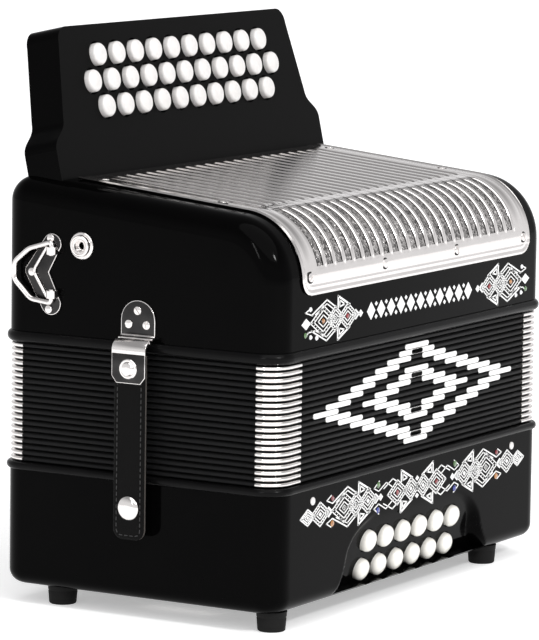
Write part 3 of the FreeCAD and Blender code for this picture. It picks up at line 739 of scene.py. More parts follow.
def dome(radius, height, edge, foot, crown, steps=5):
    """Profile of a button: straight side, rounded edge, and a gently crowned top."""
    points = [(radius * 0.98, -foot), (radius, -foot + 0.15 * MM), (radius, height - edge - crown)]
    for i in range(1, steps + 1):
        turn = math.pi / 2 * i / steps
        points.append((radius - edge * (1 - math.cos(turn)), height - crown - edge * (1 - math.sin(turn))))
    inner = radius - edge
    for i in range(1, steps + 1):
        share = 1 - i / steps
        points.append((inner * share, height - crown * share * share))
    return points


def slab(name, outline, origin, right, up, thickness, soft=0.0):
    """A flat plate from an outline of (across, along) pairs, with softened edges."""
    origin, right, up = Vector(origin), Vector(right), Vector(up)
    normal = right.cross(up).normalized()
    points = []
    for level in (0.0, thickness):
        points += [origin + right * a + up * b + normal * level for a, b in outline]
    obj = outward(mesh_object(name, points, tube_faces(2, len(outline))))
    if soft:
        bevelled(obj, soft)
    return smooth(obj)


def wire(name, points, radius, bend):
    """A round wire along points, its corners eased over a distance, as a mesh."""
    curve = bpy.data.curves.new(name, "CURVE")
    curve.dimensions = "3D"
    curve.bevel_depth = radius
    curve.bevel_resolution = 4
    curve.use_fill_caps = True
    route = []
    for i, point in enumerate(points):
        point = Vector(point)
        if i in (0, len(points) - 1):
            route.append(point)
            continue
        before = (Vector(points[i - 1]) - point).normalized() * bend
        after = (Vector(points[i + 1]) - point).normalized() * bend
        for k in range(7):
            s = k / 6
            route.append((point + before) * (1 - s) ** 2 + point * 2 * s * (1 - s) + (point + after) * s ** 2)
    spline = curve.splines.new("POLY")
    spline.points.add(len(route) - 1)
    for target, point in zip(spline.points, route):
        target.co = (*point, 1.0)
    made = new_object(name + "_curve", curve)
    graph = bpy.context.evaluated_depsgraph_get()
    mesh = bpy.data.meshes.new_from_object(made.evaluated_get(graph))
    bpy.data.objects.remove(made)
    return smooth(outward(new_object(name, mesh)), 50.0)


def casing_ring(grow, level, steps=8):
    """The casings' rounded outline, grown outwards, from the front's right end round to its left end."""
    radius = settings("casings").corner
    points = []
    for across, along, start in ((1, -1, -90), (1, 1, 0), (-1, 1, 90), (-1, -1, 180)):
        centre_x, centre_y = across * (HALF_X - radius), along * (HALF_Y - radius)
        for i in range(steps + 1):
            turn = math.radians(start + 90 * i / steps)
            points.append(Vector((centre_x + (radius + grow) * math.cos(turn),
                                  centre_y + (radius + grow) * math.sin(turn), level)))
    return points


def islands(mesh):
    """The separate pieces of a welded mesh, each a set of vertex indices."""
    parent = list(range(len(mesh.vertices)))

    def root(i):
        while parent[i] != i:
            parent[i] = parent[parent[i]]
            i = parent[i]
        return i

    for edge in mesh.edges:
        a, b = root(edge.vertices[0]), root(edge.vertices[1])
        if a != b:
            parent[a] = b
    groups = {}
    for i in range(len(parent)):
        groups.setdefault(root(i), []).append(i)
    return list(groups.values())


def frame_copy(node, name, degrees=35.0):
    """A welded copy of a frame node, smoothly shaded."""
    mesh = frame["nodes"][node].data.copy()
    mesh.name = name
    mended(mesh, FRAME_WELD)
    if "custom_normal" in mesh.attributes:
        mesh.attributes.remove(mesh.attributes["custom_normal"])
    mesh.materials.clear()
    return smooth(new_object(name, mesh), degrees)


def split_islands(obj):
    """Break a welded object into one object per separate solid."""
    parts = []
    mesh = obj.data
    for number, group in enumerate(islands(mesh)):
        index = {old: new for new, old in enumerate(group)}
        faces = [tuple(index[v] for v in face.vertices) for face in mesh.polygons
                 if face.vertices[0] in index]
        points = [mesh.vertices[i].co.copy() for i in group]
        parts.append(smooth(mesh_object("%s_%d" % (obj.name, number), points, faces)))
    bpy.data.objects.remove(obj)
    return parts


def middle(obj):
    corners = [v.co for v in obj.data.vertices]
    low = Vector([min(c[i] for c in corners) for i in range(3)])
    high = Vector([max(c[i] for c in corners) for i in range(3)])
    return (low + high) / 2


# ------------------------------------------------------------ geometry nodes

def repeat_tree():
    """Node tree that sets copies of an object along a line, or on the points of a mesh."""
    name = "Repeat"
    if name in bpy.data.node_groups:
        return bpy.data.node_groups[name]
    tree = bpy.data.node_groups.new(name, "GeometryNodeTree")
    tree.is_modifier = True
    tree.interface.new_socket("Geometry", in_out="INPUT", socket_type="NodeSocketGeometry")
    for label, kind in (("Shape", "NodeSocketObject"), ("Count", "NodeSocketInt"),
                        ("Step", "NodeSocketVector"), ("Finish", "NodeSocketMaterial"),
                        ("Spin", "NodeSocketFloat")):
        tree.interface.new_socket(label, in_out="INPUT", socket_type=kind)
    tree.interface.new_socket("Geometry", in_out="OUTPUT", socket_type="NodeSocketGeometry")

    def add(kind, **values):
        node = tree.nodes.new(kind)
        for key, value in values.items():
            setattr(node, key, value)
        return node

    inputs, outputs = add("NodeGroupInput"), add("NodeGroupOutput")
    duplicate = add("GeometryNodeDuplicateElements", domain="POINT")
    scale = add("ShaderNodeVectorMath", operation="SCALE")
    offset = add("GeometryNodeSetPosition")
    shape = add("GeometryNodeObjectInfo", transform_space="ORIGINAL")
    minus = add("ShaderNodeMath", operation="MULTIPLY")
    minus.inputs[1].default_value = -1.0
    spin = add("FunctionNodeRandomValue", data_type="FLOAT")
    spin.inputs["Seed"].default_value = 7
    about = add("ShaderNodeCombineXYZ")
    facing = add("GeometryNodeInputNamedAttribute", data_type="FLOAT_VECTOR")
    facing.inputs["Name"].default_value = "facing"
    align = add("FunctionNodeAlignRotationToVector", axis="Z")
    instance = add("GeometryNodeInstanceOnPoints")
    realize = add("GeometryNodeRealizeInstances")
    finish = add("GeometryNodeSetMaterial")
    for source, output, target, socket in (
            (inputs, "Geometry", duplicate, "Geometry"), (inputs, "Count", duplicate, "Amount"),
            (duplicate, "Geometry", offset, "Geometry"), (inputs, "Step", scale, 0),
            (duplicate, "Duplicate Index", scale, "Scale"), (scale, 0, offset, "Offset"),
            (inputs, "Shape", shape, "Object"), (offset, 0, instance, "Points"),
            (shape, "Geometry", instance, "Instance"), (inputs, "Spin", minus, 0),
            (minus, 0, spin, "Min"), (inputs, "Spin", spin, "Max"), (spin, "Value", about, "Z"),
            (about, 0, align, "Rotation"), (facing, "Attribute", align, "Vector"),
            (align, 0, instance, "Rotation"), (instance, 0, realize, 0), (realize, 0, finish, 0),
            (inputs, "Finish", finish, "Material"), (finish, 0, outputs, 0)):
        named = [item for item in source.outputs if item.enabled and item.name == output]
        wanted = [item for item in target.inputs if item.enabled and item.name == socket]
        tree.links.new(named[0] if named else source.outputs[output],
                       wanted[0] if wanted else target.inputs[socket])
    return tree


def repeated(name, shape, finish, points, count=1, step=(0, 0, 0), facing=None, spread=0.0):
    """Copies of a shape at points, each carried on along a step; the shape is used up."""
    tree = repeat_tree()
    mesh = bpy.data.meshes.new(name)
    mesh.from_pydata([tuple(p) for p in points], [], [])
    facing = facing or [(0, 0, 1)] * len(points)
    attribute = mesh.attributes.new("facing", "FLOAT_VECTOR", "POINT")
    attribute.data.foreach_set("vector", [value for direction in facing for value in direction])
    obj = new_object(name, mesh)
    modifier = obj.modifiers.new("Repeat", "NODES")
    modifier.node_group = tree
    named = {item.name: item.identifier for item in tree.interface.items_tree if item.in_out == "INPUT"}
    modifier[named["Shape"]] = shape
    modifier[named["Count"]] = count
    modifier[named["Step"]] = step
    modifier[named["Finish"]] = finish_named(finish)
    modifier[named["Spin"]] = spread
    bpy.context.view_layer.update()
    baked(obj)
    bpy.data.objects.remove(shape)
    return obj


# ------------------------------------------------------------------- casings

def lying(points, x):
    """Height of a smooth line through given (x, height) points."""
    if x <= points[0][0]:
        return points[0][1]
    for i in range(len(points) - 1):
        (x0, y0), (x1, y1) = points[i], points[i + 1]
        if x <= x1:
            before = points[max(i - 1, 0)]
            after = points[min(i + 2, len(points) - 1)]
            span = x1 - x0
            rise0 = (y1 - before[1]) / (x1 - before[0]) * span
            rise1 = (after[1] - y0) / (after[0] - x0) * span
            s = (x - x0) / span
            return ((2 * s ** 3 - 3 * s ** 2 + 1) * y0 + (s ** 3 - 2 * s ** 2 + s) * rise0
                    + (3 * s ** 2 - 2 * s ** 3) * y1 + (s ** 3 - s ** 2) * rise1)
    return points[-1][1]


def ease(share):
    share = min(max(share, 0.0), 1.0)
    return share * share * (3 - 2 * share)


def panel_depth(level):
    """How far the slanted bass panel lies behind the front, easing out at its top."""
    own = settings("casings")
    raw = (own.panel_top - level) * math.tan(own.panel_tilt)
    soft = 0.45 * MM
    return soft * math.log1p(math.exp(raw / soft)) if raw < 20 * soft else raw


def scoop_depth(x, level):
    """Depth of the scoop behind the front: full on the panel, curving out at its side walls."""
    own = settings("casings")
    floor = BASS_LOW.z + own.ledge
    half = own.scoop_half
    crest = lying(((floor, half), (floor + 6.5 * MM, half - 6.5 * MM), (floor + 14 * MM, half - 10.5 * MM),
                   (floor + 23.5 * MM, half - 14.5 * MM), (floor + 32.5 * MM, half - 25 * MM),
                   (own.panel_top + 3 * MM, half - 48 * MM)), level)
    return panel_depth(level) * ease((crest - abs(x)) / own.scoop_wall)


def bass_ring(grow, level, sunk=True, wall=0.0):
    """The bass casing's outline at a level, its front set back where the scoop is."""
    columns = 188
    ring = casing_ring(grow - wall, level)
    reach = HALF_X - settings("casings").corner
    for i in range(1, columns):
        x = -reach + 2 * reach * i / columns
        depth = scoop_depth(x, level) if sunk else 0.0
        ring.append(Vector((x, FRONT_Y + wall + max(-grow, depth), level)))
    return ring


BASS_ROWS = (("upper", 37.4 * MM), ("lower", 20.8 * MM))


def bass_key_spots():
    """Node name and place on the panel of every bass key."""
    tilt = settings("casings").panel_tilt
    for word, level in BASS_ROWS:
        for number in range(1, 7):
            node = "bass_key_%s_%d" % (word, number)
            low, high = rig.box(node)
            y = FRONT_Y + (settings("casings").panel_top - level) * math.tan(tilt)
            yield node, Vector(((low.x + high.x) / 2, y, level))


def panel_outward():
    tilt = settings("casings").panel_tilt
    return Vector((0, -math.cos(tilt), -math.sin(tilt)))


class ACCORDION_OT_bass_shell(bpy.types.Operator):
    """Lacquered bass casing with its scooped button panel"""
    bl_idname = "accordion.bass_shell"
    bl_label = "Bass casing"

    def execute(self, context):
        own = settings("casings")
        floor = BASS_LOW.z + own.ledge
        top = BASS_HIGH.z
        scoop_top = own.panel_top + 8 * MM
        levels = [floor + (scoop_top - floor) * i / 46 for i in range(47)] + [top]
        soft = own.foot_round

        def shrink(level):
            """How far the rounded bottom edge has drawn the outline in at a level."""
            up = max(soft - (level - BASS_LOW.z), 0.0)
            return math.sqrt(soft * soft - up * up) - soft

        below = [BASS_LOW.z + own.ledge * (i / 6) ** 2 for i in range(7)]
        rings = [bass_ring(shrink(level), level, False) for level in below]
        rings += [bass_ring(shrink(level), level) for level in levels]
        rings += [bass_ring(0.0, level, True, own.wall) for level in reversed(levels)]
        points = [p for ring in rings for p in ring]
        shell = outward(mesh_object("bass_shell", points, tube_faces(len(rings), len(rings[0]))))
        out = panel_outward()
        drills, deep = [], 9 * MM
        hole = settings("keys").bass_radius + 0.7 * MM
        for _, spot in bass_key_spots():
            drills.append(turned("drill", spot, out, ((hole, -deep), (hole, deep)), 40))
        air_low, air_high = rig.box("air_button")
        air_middle, air_hole = (air_low + air_high) / 2, 6.6 * MM
        drills.append(turned("drill", Vector((HALF_X, air_middle.y, air_middle.z)), (1, 0, 0),
                             ((air_hole, -deep), (air_hole, deep)), 40))
        smooth(carved(shell, joined("drill", drills)), 32.0)
        studs = [turned("stud", (side * (HALF_X - 0.2 * MM), STRAP_Y, STUD_Z), (side, 0, 0),
                        ((4.0 * MM, -1 * MM), (4.0 * MM, 6.0 * MM), (3.5 * MM, 6.8 * MM)), 28)
                 for side, _ in SIDES]
        painted(shell, "lacquer")
        stud = painted(joined("bass_snap_studs", studs), "nickel")
        mounted(shell, BASS, "black_lacquer", ["bass_casing"])
        mounted(stud, BASS, "nickel")
        return {"FINISHED"}


class ACCORDION_OT_treble_shell(bpy.types.Operator):
    """Lacquered treble casing with its rolled front edge"""
    bl_idname = "accordion.treble_shell"
    bl_label = "Treble casing"

    def execute(self, context):
        shell = painted(frame_copy("treble_casing", "treble_shell"), "lacquer")
        mounted(shell, TREBLE, "black_lacquer", ["treble_casing"])
        return {"FINISHED"}


class ACCORDION_OT_bellows_frames(bpy.types.Operator):
    """Beaded bellows frames with their retaining pins"""
    bl_idname = "accordion.bellows_frames"
    bl_label = "Bellows frames"

    def execute(self, context):
        for node, body in (("bass_bellows_frame", BASS), ("treble_bellows_frame", TREBLE)):
            piece = painted(frame_copy(node, node + "_painted"), "frame_lacquer")
            mounted(piece, body, "black_lacquer", [node])
        level = BASS_HIGH.z - 6.4 * MM
        spots = [(x * MM, FRONT_Y, level) for x in (-117, 117)]
        spots += [(x * MM, HALF_Y, level) for x in (-117, 0, 117)]
        pin = upright("pin", dome(2.3 * MM, 1.5 * MM, 0.6 * MM, 1 * MM, 0.7 * MM), 20)
        facing = [(0, math.copysign(1, y), 0) for _, y, _ in spots]
        pins = repeated("bellows_pins", pin, "pearl", spots, facing=facing)
        mounted(pins, BASS, "pearl")
        return {"FINISHED"}


# ------------------------------------------------------------------- bellows

def fold_pitch():
    return (FOLDS_HIGH.z - FOLDS_LOW.z) / settings("bellows").folds


def fold_share(level):
    """Blend weight at a level: constant over each ridge's bead, stretching between the beads."""
    folds = settings("bellows").folds
    place = (level - FOLDS_LOW.z) / fold_pitch()
    number = min(max(math.floor(place), 0), folds - 1)
    rest = place - number - 0.5
    bead = settings("bellows").bead
    edge = max(abs(rest) - bead, 0.0) / (1 - 2 * bead)
    return min(max((number + 0.5 + math.copysign(edge, rest)) / folds, 0.0), 1.0)


def stretched_with_folds(obj, share):
    """Blend a finished piece between the two ends, with a weight of its own for each point."""
    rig.blend(obj, BASS, TREBLE, (0, 0, FOLDS_LOW.z), (0, 0, FOLDS_HIGH.z))
    attribute = obj.data.attributes["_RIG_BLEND"]
    attribute.data.foreach_set("value", [share(v.co) for v in obj.data.vertices])


def ridge_share(place):
    """Weight of a piece fixed to one ridge: the same all over the piece."""
    folds = settings("bellows").folds
    number = min(max(int((place.z - FOLDS_LOW.z) / fold_pitch()), 0), folds - 1)
    return (number + 0.5) / folds


class ACCORDION_OT_bellows_folds(bpy.types.Operator):
    """Folded cloth bellows, ridge by ridge"""
    bl_idname = "accordion.bellows_folds"
    bl_label = "Bellows folds"

    def execute(self, context):
        own = settings("bellows")
        pitch = fold_pitch()
        ridge = 1.15 * MM
        start = 0.5 - own.bead
        profile = ((0.0, own.valley), (start * 0.45, own.valley - 0.5 * MM), (start * 0.8, ridge + 3.4 * MM),
                   (start, ridge + 1.1 * MM), (start + 0.04, ridge + 0.45 * MM),
                   (start + 0.10, ridge + 0.12 * MM), (start + 0.18, ridge + 0.02 * MM), (0.5, ridge))
        shape = [(share, depth) for share, depth in profile]
        shape += [(1 - share, depth) for share, depth in reversed(profile[:-1])]
        rings = []
        for number in range(own.folds):
            for share, depth in shape[:-1]:
                rings.append((FOLDS_LOW.z + (number + share) * pitch, -depth))
        rings.append((FOLDS_HIGH.z, -own.valley))
        inside = 15 * MM
        rings += [(level, -inside) for level, grow in reversed(rings)]
        points = [p for level, grow in rings for p in self.ring(level, grow)]
        count = len(self.ring(0.0, 0.0))
        faces = tube_faces(len(rings), count, capped=False)
        last = (len(rings) - 1) * count
        faces += [(last + i, last + (i + 1) % count, (i + 1) % count, i) for i in range(count)]
        folds = smooth(outward(mesh_object("bellows_folds", points, faces)), 50.0)
        painted(folds, "cloth")
        stretched_with_folds(folds, lambda place: fold_share(place.z))
        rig.slot(folds, "bellows_cloth")
        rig.replaces(folds, "bellows")
        return {"FINISHED"}

    def ring(self, level, grow):
        """The bellows' outline with a point every few centimetres along its straight sides."""
        corners = casing_ring(grow, level, 6)
        ring = []
        for i, point in enumerate(corners):
            ring.append(point)
            after = corners[(i + 1) % len(corners)]
            gap = (after - point).length
            pieces = int(gap / (30 * MM))
            ring += [point.lerp(after, k / (pieces + 1)) for k in range(1, pieces + 1)]
        return ring


class ACCORDION_OT_corner_caps(bpy.types.Operator):
    """Nickel caps that clip over every fold at the four corners"""
    bl_idname = "accordion.corner_caps"
    bl_label = "Bellows corner caps"

    def execute(self, context):
        own = settings("bellows")
        pitch = fold_pitch()
        radius = settings("casings").corner
        bead = 0.36 * pitch
        section = []
        for i in range(9):
            turn = math.radians(-100 + 200 * i / 8)
            section.append((-1.25 * MM + 1.25 * MM * math.cos(turn), bead * math.sin(turn)))
        back = [(-2.6 * MM - 3.0 * MM, bead * 0.45), (-2.6 * MM - 3.0 * MM, -bead * 0.45)]
        section += back
        caps = []
        for across in (-1, 1):
            for along in (-1, 1):
                path = self.path(across, along, radius, own)
                points = []
                for place, out in path:
                    points += [place + out * depth + Vector((0, 0, rise)) for depth, rise in section]
                cap = outward(mesh_object("cap", points, tube_faces(len(path), len(section))))
                smooth(cap, 55.0)
                caps.append(repeated("cap_row", cap, "nickel", [(0, 0, FOLDS_LOW.z + pitch / 2)], own.folds,
                                     (0, 0, pitch)))
        piece = joined("bellows_corner_caps", caps)
        stretched_with_folds(piece, ridge_share)
        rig.slot(piece, "nickel")
        return {"FINISHED"}

    def path(self, across, along, radius, own):
        """Places along a cap with their outward directions: side leg, corner, front leg."""
        centre = Vector((across * (HALF_X - radius), along * (HALF_Y - radius), 0))
        reach = radius - 0.05 * MM
        route = []
        side_leg = own.cap_side - radius
        front_leg = own.cap_front - radius
        route.append((centre + Vector((across * reach, -along * max(side_leg, 0.3 * MM), 0)),
                      Vector((across, 0, 0))))
        for i in range(9):
            turn = math.pi / 2 * i / 8
            out = Vector((across * math.cos(turn), along * math.sin(turn), 0))
            route.append((centre + out * reach, out))
        for share in (0.5, 1.0):
            route.append((centre + Vector((-across * front_leg * share, along * reach, 0)),
                          Vector((0, along, 0))))
        return route


class ACCORDION_OT_fold_motif(bpy.types.Operator):
    """White strips on the folds' front edges that make a stepped diamond"""
    bl_idname = "accordion.fold_motif"
    bl_label = "Fold motif"

    def execute(self, context):
        pitch = fold_pitch()
        step = 13.65 * MM
        half = 1.52 * MM
        outline = []
        for i in range(13):
            turn = math.radians(90 - 180 * i / 12)
            outline.append((step - half + half * math.cos(turn), half * math.sin(turn)))
        outline += [(-x, -z) for x, z in outline]
        strip = slab("strip", outline, (0, FRONT_Y + 1.35 * MM, 0), (1, 0, 0), (0, 0, 1), 0.85 * MM, 0.3 * MM)
        middle_row = 10
        spots = []
        for row in range(-8, 9):
            level = FOLDS_LOW.z + (middle_row + row + 0.5) * pitch
            ends = [8.5 - abs(row)]
            if abs(row) <= 4:
                ends.append(4.5 - abs(row))
            for end in ends:
                centres = {end - 1, -end + 1} if end > 0.5 else {0.0}
                for centre in centres:
                    spots.append((centre * step, 0, level))
        motif = repeated("fold_motif", strip, "inlay", spots)
        stretched_with_folds(motif, ridge_share)
        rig.slot(motif, "pearl")
        return {"FINISHED"}


# -------------------------------------------------------------------- grille

class RolledSheet:
    """The sheet over the treble casing, walked from its front edge up over the roll to its rear."""

    def __init__(self):
        own = settings("grille")
        self.radius = own.roll
        self.turn = math.pi / 2 - own.slope
        self.rise = own.roll_height - GRILLE_LOW.z
        self.bend = self.radius * self.turn
        self.centre = Vector((0, FRONT_Y + own.roll, own.roll_height))
        top = self.centre.y - self.radius * math.cos(self.turn)
        self.flat = (GRILLE_HIGH.y - top) / math.cos(own.slope)
        self.length = self.rise + self.bend + self.flat

    def place(self, x, walk, height):
        """Point at a walk along the sheet and a height above the casing."""
        out = self.out(walk)
        if walk <= self.rise:
            base = Vector((x, FRONT_Y, GRILLE_LOW.z + walk))
        elif walk <= self.rise + self.bend:
            base = self.centre + Vector((x, 0, 0)) + out * self.radius
        else:
            end = self.centre + self.out(self.rise + self.bend) * self.radius
            along = Vector((0, math.cos(settings("grille").slope), math.sin(settings("grille").slope)))
            base = end + Vector((x, 0, 0)) + along * (walk - self.rise - self.bend)
        return base + out * height

    def out(self, walk):
        turn = min(max((walk - self.rise) / self.radius, 0.0), self.turn)
        return Vector((0, -math.cos(turn), math.sin(turn)))

    def walk_at(self, y):
        """Walk at which the flat top reaches a depth."""
        end = self.centre.y - self.radius * math.cos(self.turn)
        return self.rise + self.bend + (y - end) / math.cos(settings("grille").slope)


def spread_between(marks, gap):
    """Numbers that pass through every mark, no further apart than a gap."""
    out = [marks[0]]
    for first, second in zip(marks, marks[1:]):
        pieces = max(1, math.ceil((second - first) / gap - 1e-6))
        out += [first + (second - first) * (i + 1) / pieces for i in range(pieces)]
    return out


def bulge(distance, centre, width, height):
    """Height of a rounded bead across its width, at a distance."""
    share = (distance - centre) / width
    return height * math.sqrt(1 - share * share) if abs(share) < 1 else 0.0


class RibPattern:
    """Where the grille's borders, ribs, chased strips and slots lie, and how high each stands."""

    border_steps = 12

    def __init__(self, sheet):
        own = settings("grille")
        self.half, self.border, self.ribs = GRILLE_HIGH.x, own.border, own.ribs
        self.pitch = (2 * self.half - 2 * self.border) / self.ribs
        self.rib, self.gap = self.pitch * 0.34, self.pitch * 0.085
        self.strip = self.pitch - self.rib - 2 * self.gap
        self.front_end = sheet.rise + 8.0 * MM
        self.crest_low = sheet.rise + sheet.bend - 3.0 * MM
        self.crest_high = sheet.rise + sheet.bend + 3.5 * MM
        self.rear_end = sheet.walk_at(46 * MM)
        self.corner = 10 * MM
        self.draw = random.Random(11)
        self.columns, self.kinds = self.spaced()
        self.rows = spread_between([0.0, 3.2 * MM, 6.0 * MM, self.front_end, self.crest_low, self.crest_high,
                                    self.rear_end, sheet.length], 0.85 * MM)

    def spaced(self):
        """Sideways places of the plate's points, and what lies between each two."""
        steps = self.border_steps
        columns = [-self.half + self.border * i / steps for i in range(steps + 1)]
        kinds = ["border"] * steps
        for number in range(self.ribs):
            start = -self.half + self.border + number * self.pitch
            for width, pieces, kind in ((self.gap, 1, "slot"), (self.strip, 6, "strip"),
                                        (self.gap, 1, "slot"), (self.rib, 7, "rib")):
                for i in range(pieces):
                    columns.append(start + width * (i + 1) / pieces)
                    kinds.append(kind)
                start += width
        columns += [self.half - self.border + self.border * (i + 1) / steps for i in range(steps)]
        return columns, kinds + ["border"] * steps

    def reach(self, walk):
        """Half width of the plate, drawn in at its rounded front corners."""
        if walk >= self.corner:
            return self.half
        rest = self.corner ** 2 - (self.corner - walk) ** 2
        return self.half - self.corner + math.sqrt(max(rest, 0.0))

    def edge_distance(self, x, walk):
        side = self.half - abs(x)
        if side < self.corner and walk < self.corner:
            return self.corner - math.hypot(self.corner - side, self.corner - walk)
        return min(side, walk)

    def chased(self, walk):
        return self.front_end < walk < self.crest_low

    def slotted(self, walk):
        return self.chased(walk) or self.crest_high < walk < self.rear_end

    def inside(self, i, x):
        """The rib or strip that a column belongs to, and its place across it from -1 to 1."""
        beside = (self.kinds[i - 1] if i else "border", self.kinds[i] if i < len(self.kinds) else "border")
        found = None
        offset = (x + self.half - self.border) % self.pitch
        if "rib" in beside:
            past = offset + self.pitch if offset < self.gap else offset
            found = ("rib", past - (2 * self.gap + self.strip + self.rib / 2), self.rib)
        if "strip" in beside:
            found = ("strip", offset - (self.gap + self.strip / 2), self.strip)
        if found is None:
            return None
        kind, past_middle, width = found
        return kind, max(-1.0, min(1.0, past_middle / (width / 2)))

    def height_at(self, x, walk, inside):
        """Height of the plate's surface above the casing: embossed border, crowned ribs, chased strips."""
        distance = self.edge_distance(x, walk)
        level = 0.95 * MM + bulge(distance, 1.2 * MM, 1.25 * MM, 0.85 * MM)
        level += (bulge(distance, 4.4 * MM, 0.75 * MM, 0.3 * MM)
                  + bulge(distance, 10.5 * MM, 3.4 * MM, 0.45 * MM))
        if inside:
            kind, share = inside
            fade = (ease((walk - self.front_end + 2.5 * MM) / (4 * MM))
                    * ease((self.rear_end + 2 * MM - walk) / (4 * MM)))
            band = 1 - (0.75 * ease((walk - self.crest_low + 3 * MM) / (3 * MM))
                        * ease((self.crest_high + 3 * MM - walk) / (3 * MM)))
            on_roll = ease((self.crest_low - walk) / (6 * MM))
            crown = math.sqrt(max(1 - share * share, 0.0))
            if kind == "rib":
                level += 0.85 * MM * crown * fade * band
            else:
                sharp = self.draw.uniform(-0.32, 0.32) * MM * on_roll * (1 if abs(share) < 0.95 else 0.3)
                level += (sharp + 0.45 * MM * crown * (1 - on_roll) - 0.1 * MM) * fade * band
        return min(level, 1.86 * MM)


class ACCORDION_OT_grille(bpy.types.Operator):
    """Nickel grille: crowned ribs, chased strips on the roll, slots and an embossed border"""
    bl_idname = "accordion.grille"
    bl_label = "Grille"

    def execute(self, context):
        sheet = RolledSheet()
        ribs = RibPattern(sheet)
        mounted(self.plate(sheet, ribs), TREBLE, "nickel", ["treble_grille"])
        self.add_cloth(sheet, ribs.half)
        self.add_screws(sheet, ribs.half)
        return {"FINISHED"}

    def plate(self, sheet, ribs):
        """The pierced and embossed sheet, thickened inwards."""
        place_of = [ribs.inside(i, x) for i, x in enumerate(ribs.columns)]
        points = []
        for walk in ribs.rows:
            limit = ribs.reach(walk)
            for i, x in enumerate(ribs.columns):
                at = max(-limit, min(limit, x))
                points.append(sheet.place(at, walk, ribs.height_at(at, walk, place_of[i])))
        count = len(ribs.columns)
        faces, marks = [], []
        for r in range(len(ribs.rows) - 1):
            walk = (ribs.rows[r] + ribs.rows[r + 1]) / 2
            for i in range(count - 1):
                if ribs.kinds[i] == "slot" and ribs.slotted(walk):
                    continue
                first = r * count + i
                faces.append((first, first + 1, first + count + 1, first + count))
                marks.append(ribs.kinds[i] == "strip" and ribs.chased(walk))
        plate = mesh_object("grille_plate", points, faces)
        painted(plate, "nickel", "crystal")
        for face, mark in zip(plate.data.polygons, marks):
            face.material_index = 1 if mark else 0
        mended(plate.data, FRAME_WELD)
        thick = plate.modifiers.new("Sheet", "SOLIDIFY")
        thick.thickness = 0.7 * MM
        thick.offset = -1.0
        baked(plate)
        plate.data.shade_smooth()
        for face in plate.data.polygons:
            face.use_smooth = face.material_index == 0
        plate.data.set_sharp_from_angle(angle=math.radians(48))
        return plate

    def add_cloth(self, sheet, half):
        """Black cloth stretched behind the slots, set into the casing's window."""
        rows = spread_between([sheet.rise + 6 * MM, sheet.walk_at(47 * MM)], 4 * MM)
        xs = (-half + 14 * MM, half - 14 * MM)
        points = [sheet.place(x, walk, depth) for depth in (0.03 * MM, -0.5 * MM) for walk in rows
                  for x in xs]
        count = len(rows)
        faces = []
        for level in (0, 1):
            start = level * 2 * count
            faces += [(start + 2 * r, start + 2 * r + 1, start + 2 * r + 3, start + 2 * r + 2)
                      for r in range(count - 1)]
        for r in range(count - 1):
            for c in (0, 1):
                a, b = 2 * r + c, 2 * r + 2 + c
                faces.append((a, b, b + 2 * count, a + 2 * count))
        for r in (0, count - 1):
            a = 2 * r
            faces.append((a, a + 1, a + 1 + 2 * count, a + 2 * count))
        cloth = smooth(outward(mesh_object("grille_cloth", points, faces)))
        mounted(painted(cloth, "grille_cloth"), TREBLE, "bellows_cloth")

    def add_screws(self, sheet, half):
        """Domed, slotted screws round the grille's border, each on a near-black ring that is a painted shadow."""
        side = half - 8.6 * MM
        spots = [(x * MM, sheet.rise + 2.8 * MM) for x in (-124.5, -42, 42, 124.5)]
        spots += [(across * side, sheet.walk_at(y * MM)) for across in (-1, 1) for y in (-35, 42)]
        places = [sheet.place(x, walk, 1.25 * MM) for x, walk in spots]
        facing = [sheet.out(walk) for x, walk in spots]
        screws = repeated("grille_screws", screw_head(2.5 * MM, 0.6 * MM), "nickel", places, facing=facing,
                          spread=1.3)
        mounted(screws, TREBLE, "nickel")
        # A near-black ring round each screw head: a painted shadow.
        rims = upright("rim", in_mm(((3.3, -0.5), (3.3, 0.02), (2.6, 0.02))), 24)
        mounted(repeated("grille_screw_seats", rims, "dark_hole", places, facing=facing), TREBLE,
                "black_lacquer")


def screw_head(radius, height):
    """A slotted, domed screw head on its own axis, from Z = 0 up."""
    head = upright("screw", dome(radius, height + 0.25 * MM, 0.2 * MM, 0.8 * MM, 0.3 * MM, 3), 24)
    reach, half = radius * 1.2, radius * 0.14
    blade = slab("blade", [(-reach, -half), (reach, -half), (reach, half), (-reach, half)],
                 (0, 0, height * 0.35), (1, 0, 0), (0, 1, 0), height * 2)
    return smooth(carved(head, blade), 40.0)


# ---------------------------------------------------------------- fingerboard

def board_place(x, up, inward):
    """Point on the leaning fingerboard: up along its face, inward behind it."""
    own = settings("keys")
    face = Vector((x, BOARD_Y, BOARD_Z))
    return (face + Vector((0, math.sin(own.tilt), math.cos(own.tilt))) * up
            + Vector((0, math.cos(own.tilt), -math.sin(own.tilt))) * inward)


class ACCORDION_OT_fingerboard(bpy.types.Operator):
    """Fingerboard: satin face, polished sides"""
    bl_idname = "accordion.fingerboard"
    bl_label = "Fingerboard"

    def execute(self, context):
        board = frame_copy("fingerboard", "fingerboard_lacquered")
        painted(board, "lacquer", "satin_board")
        out = Vector((0, -math.cos(settings("keys").tilt), math.sin(settings("keys").tilt)))
        for face in board.data.polygons:
            if face.normal.dot(out) > 0.995 and (face.center - board_place(0, 0, 0)).dot(out) > -0.5 * MM:
                face.material_index = 1
        mounted(board, TREBLE, "black_lacquer", ["fingerboard"])
        return {"FINISHED"}


def treble_rows():
    for row, count, word in ((1, 10, "upper"), (0, 11, "middle"), (-1, 10, "lower")):
        for index in range(count):
            yield "treble_key_%s_%02d" % (word, index + 1), index - (count - 1) / 2, row


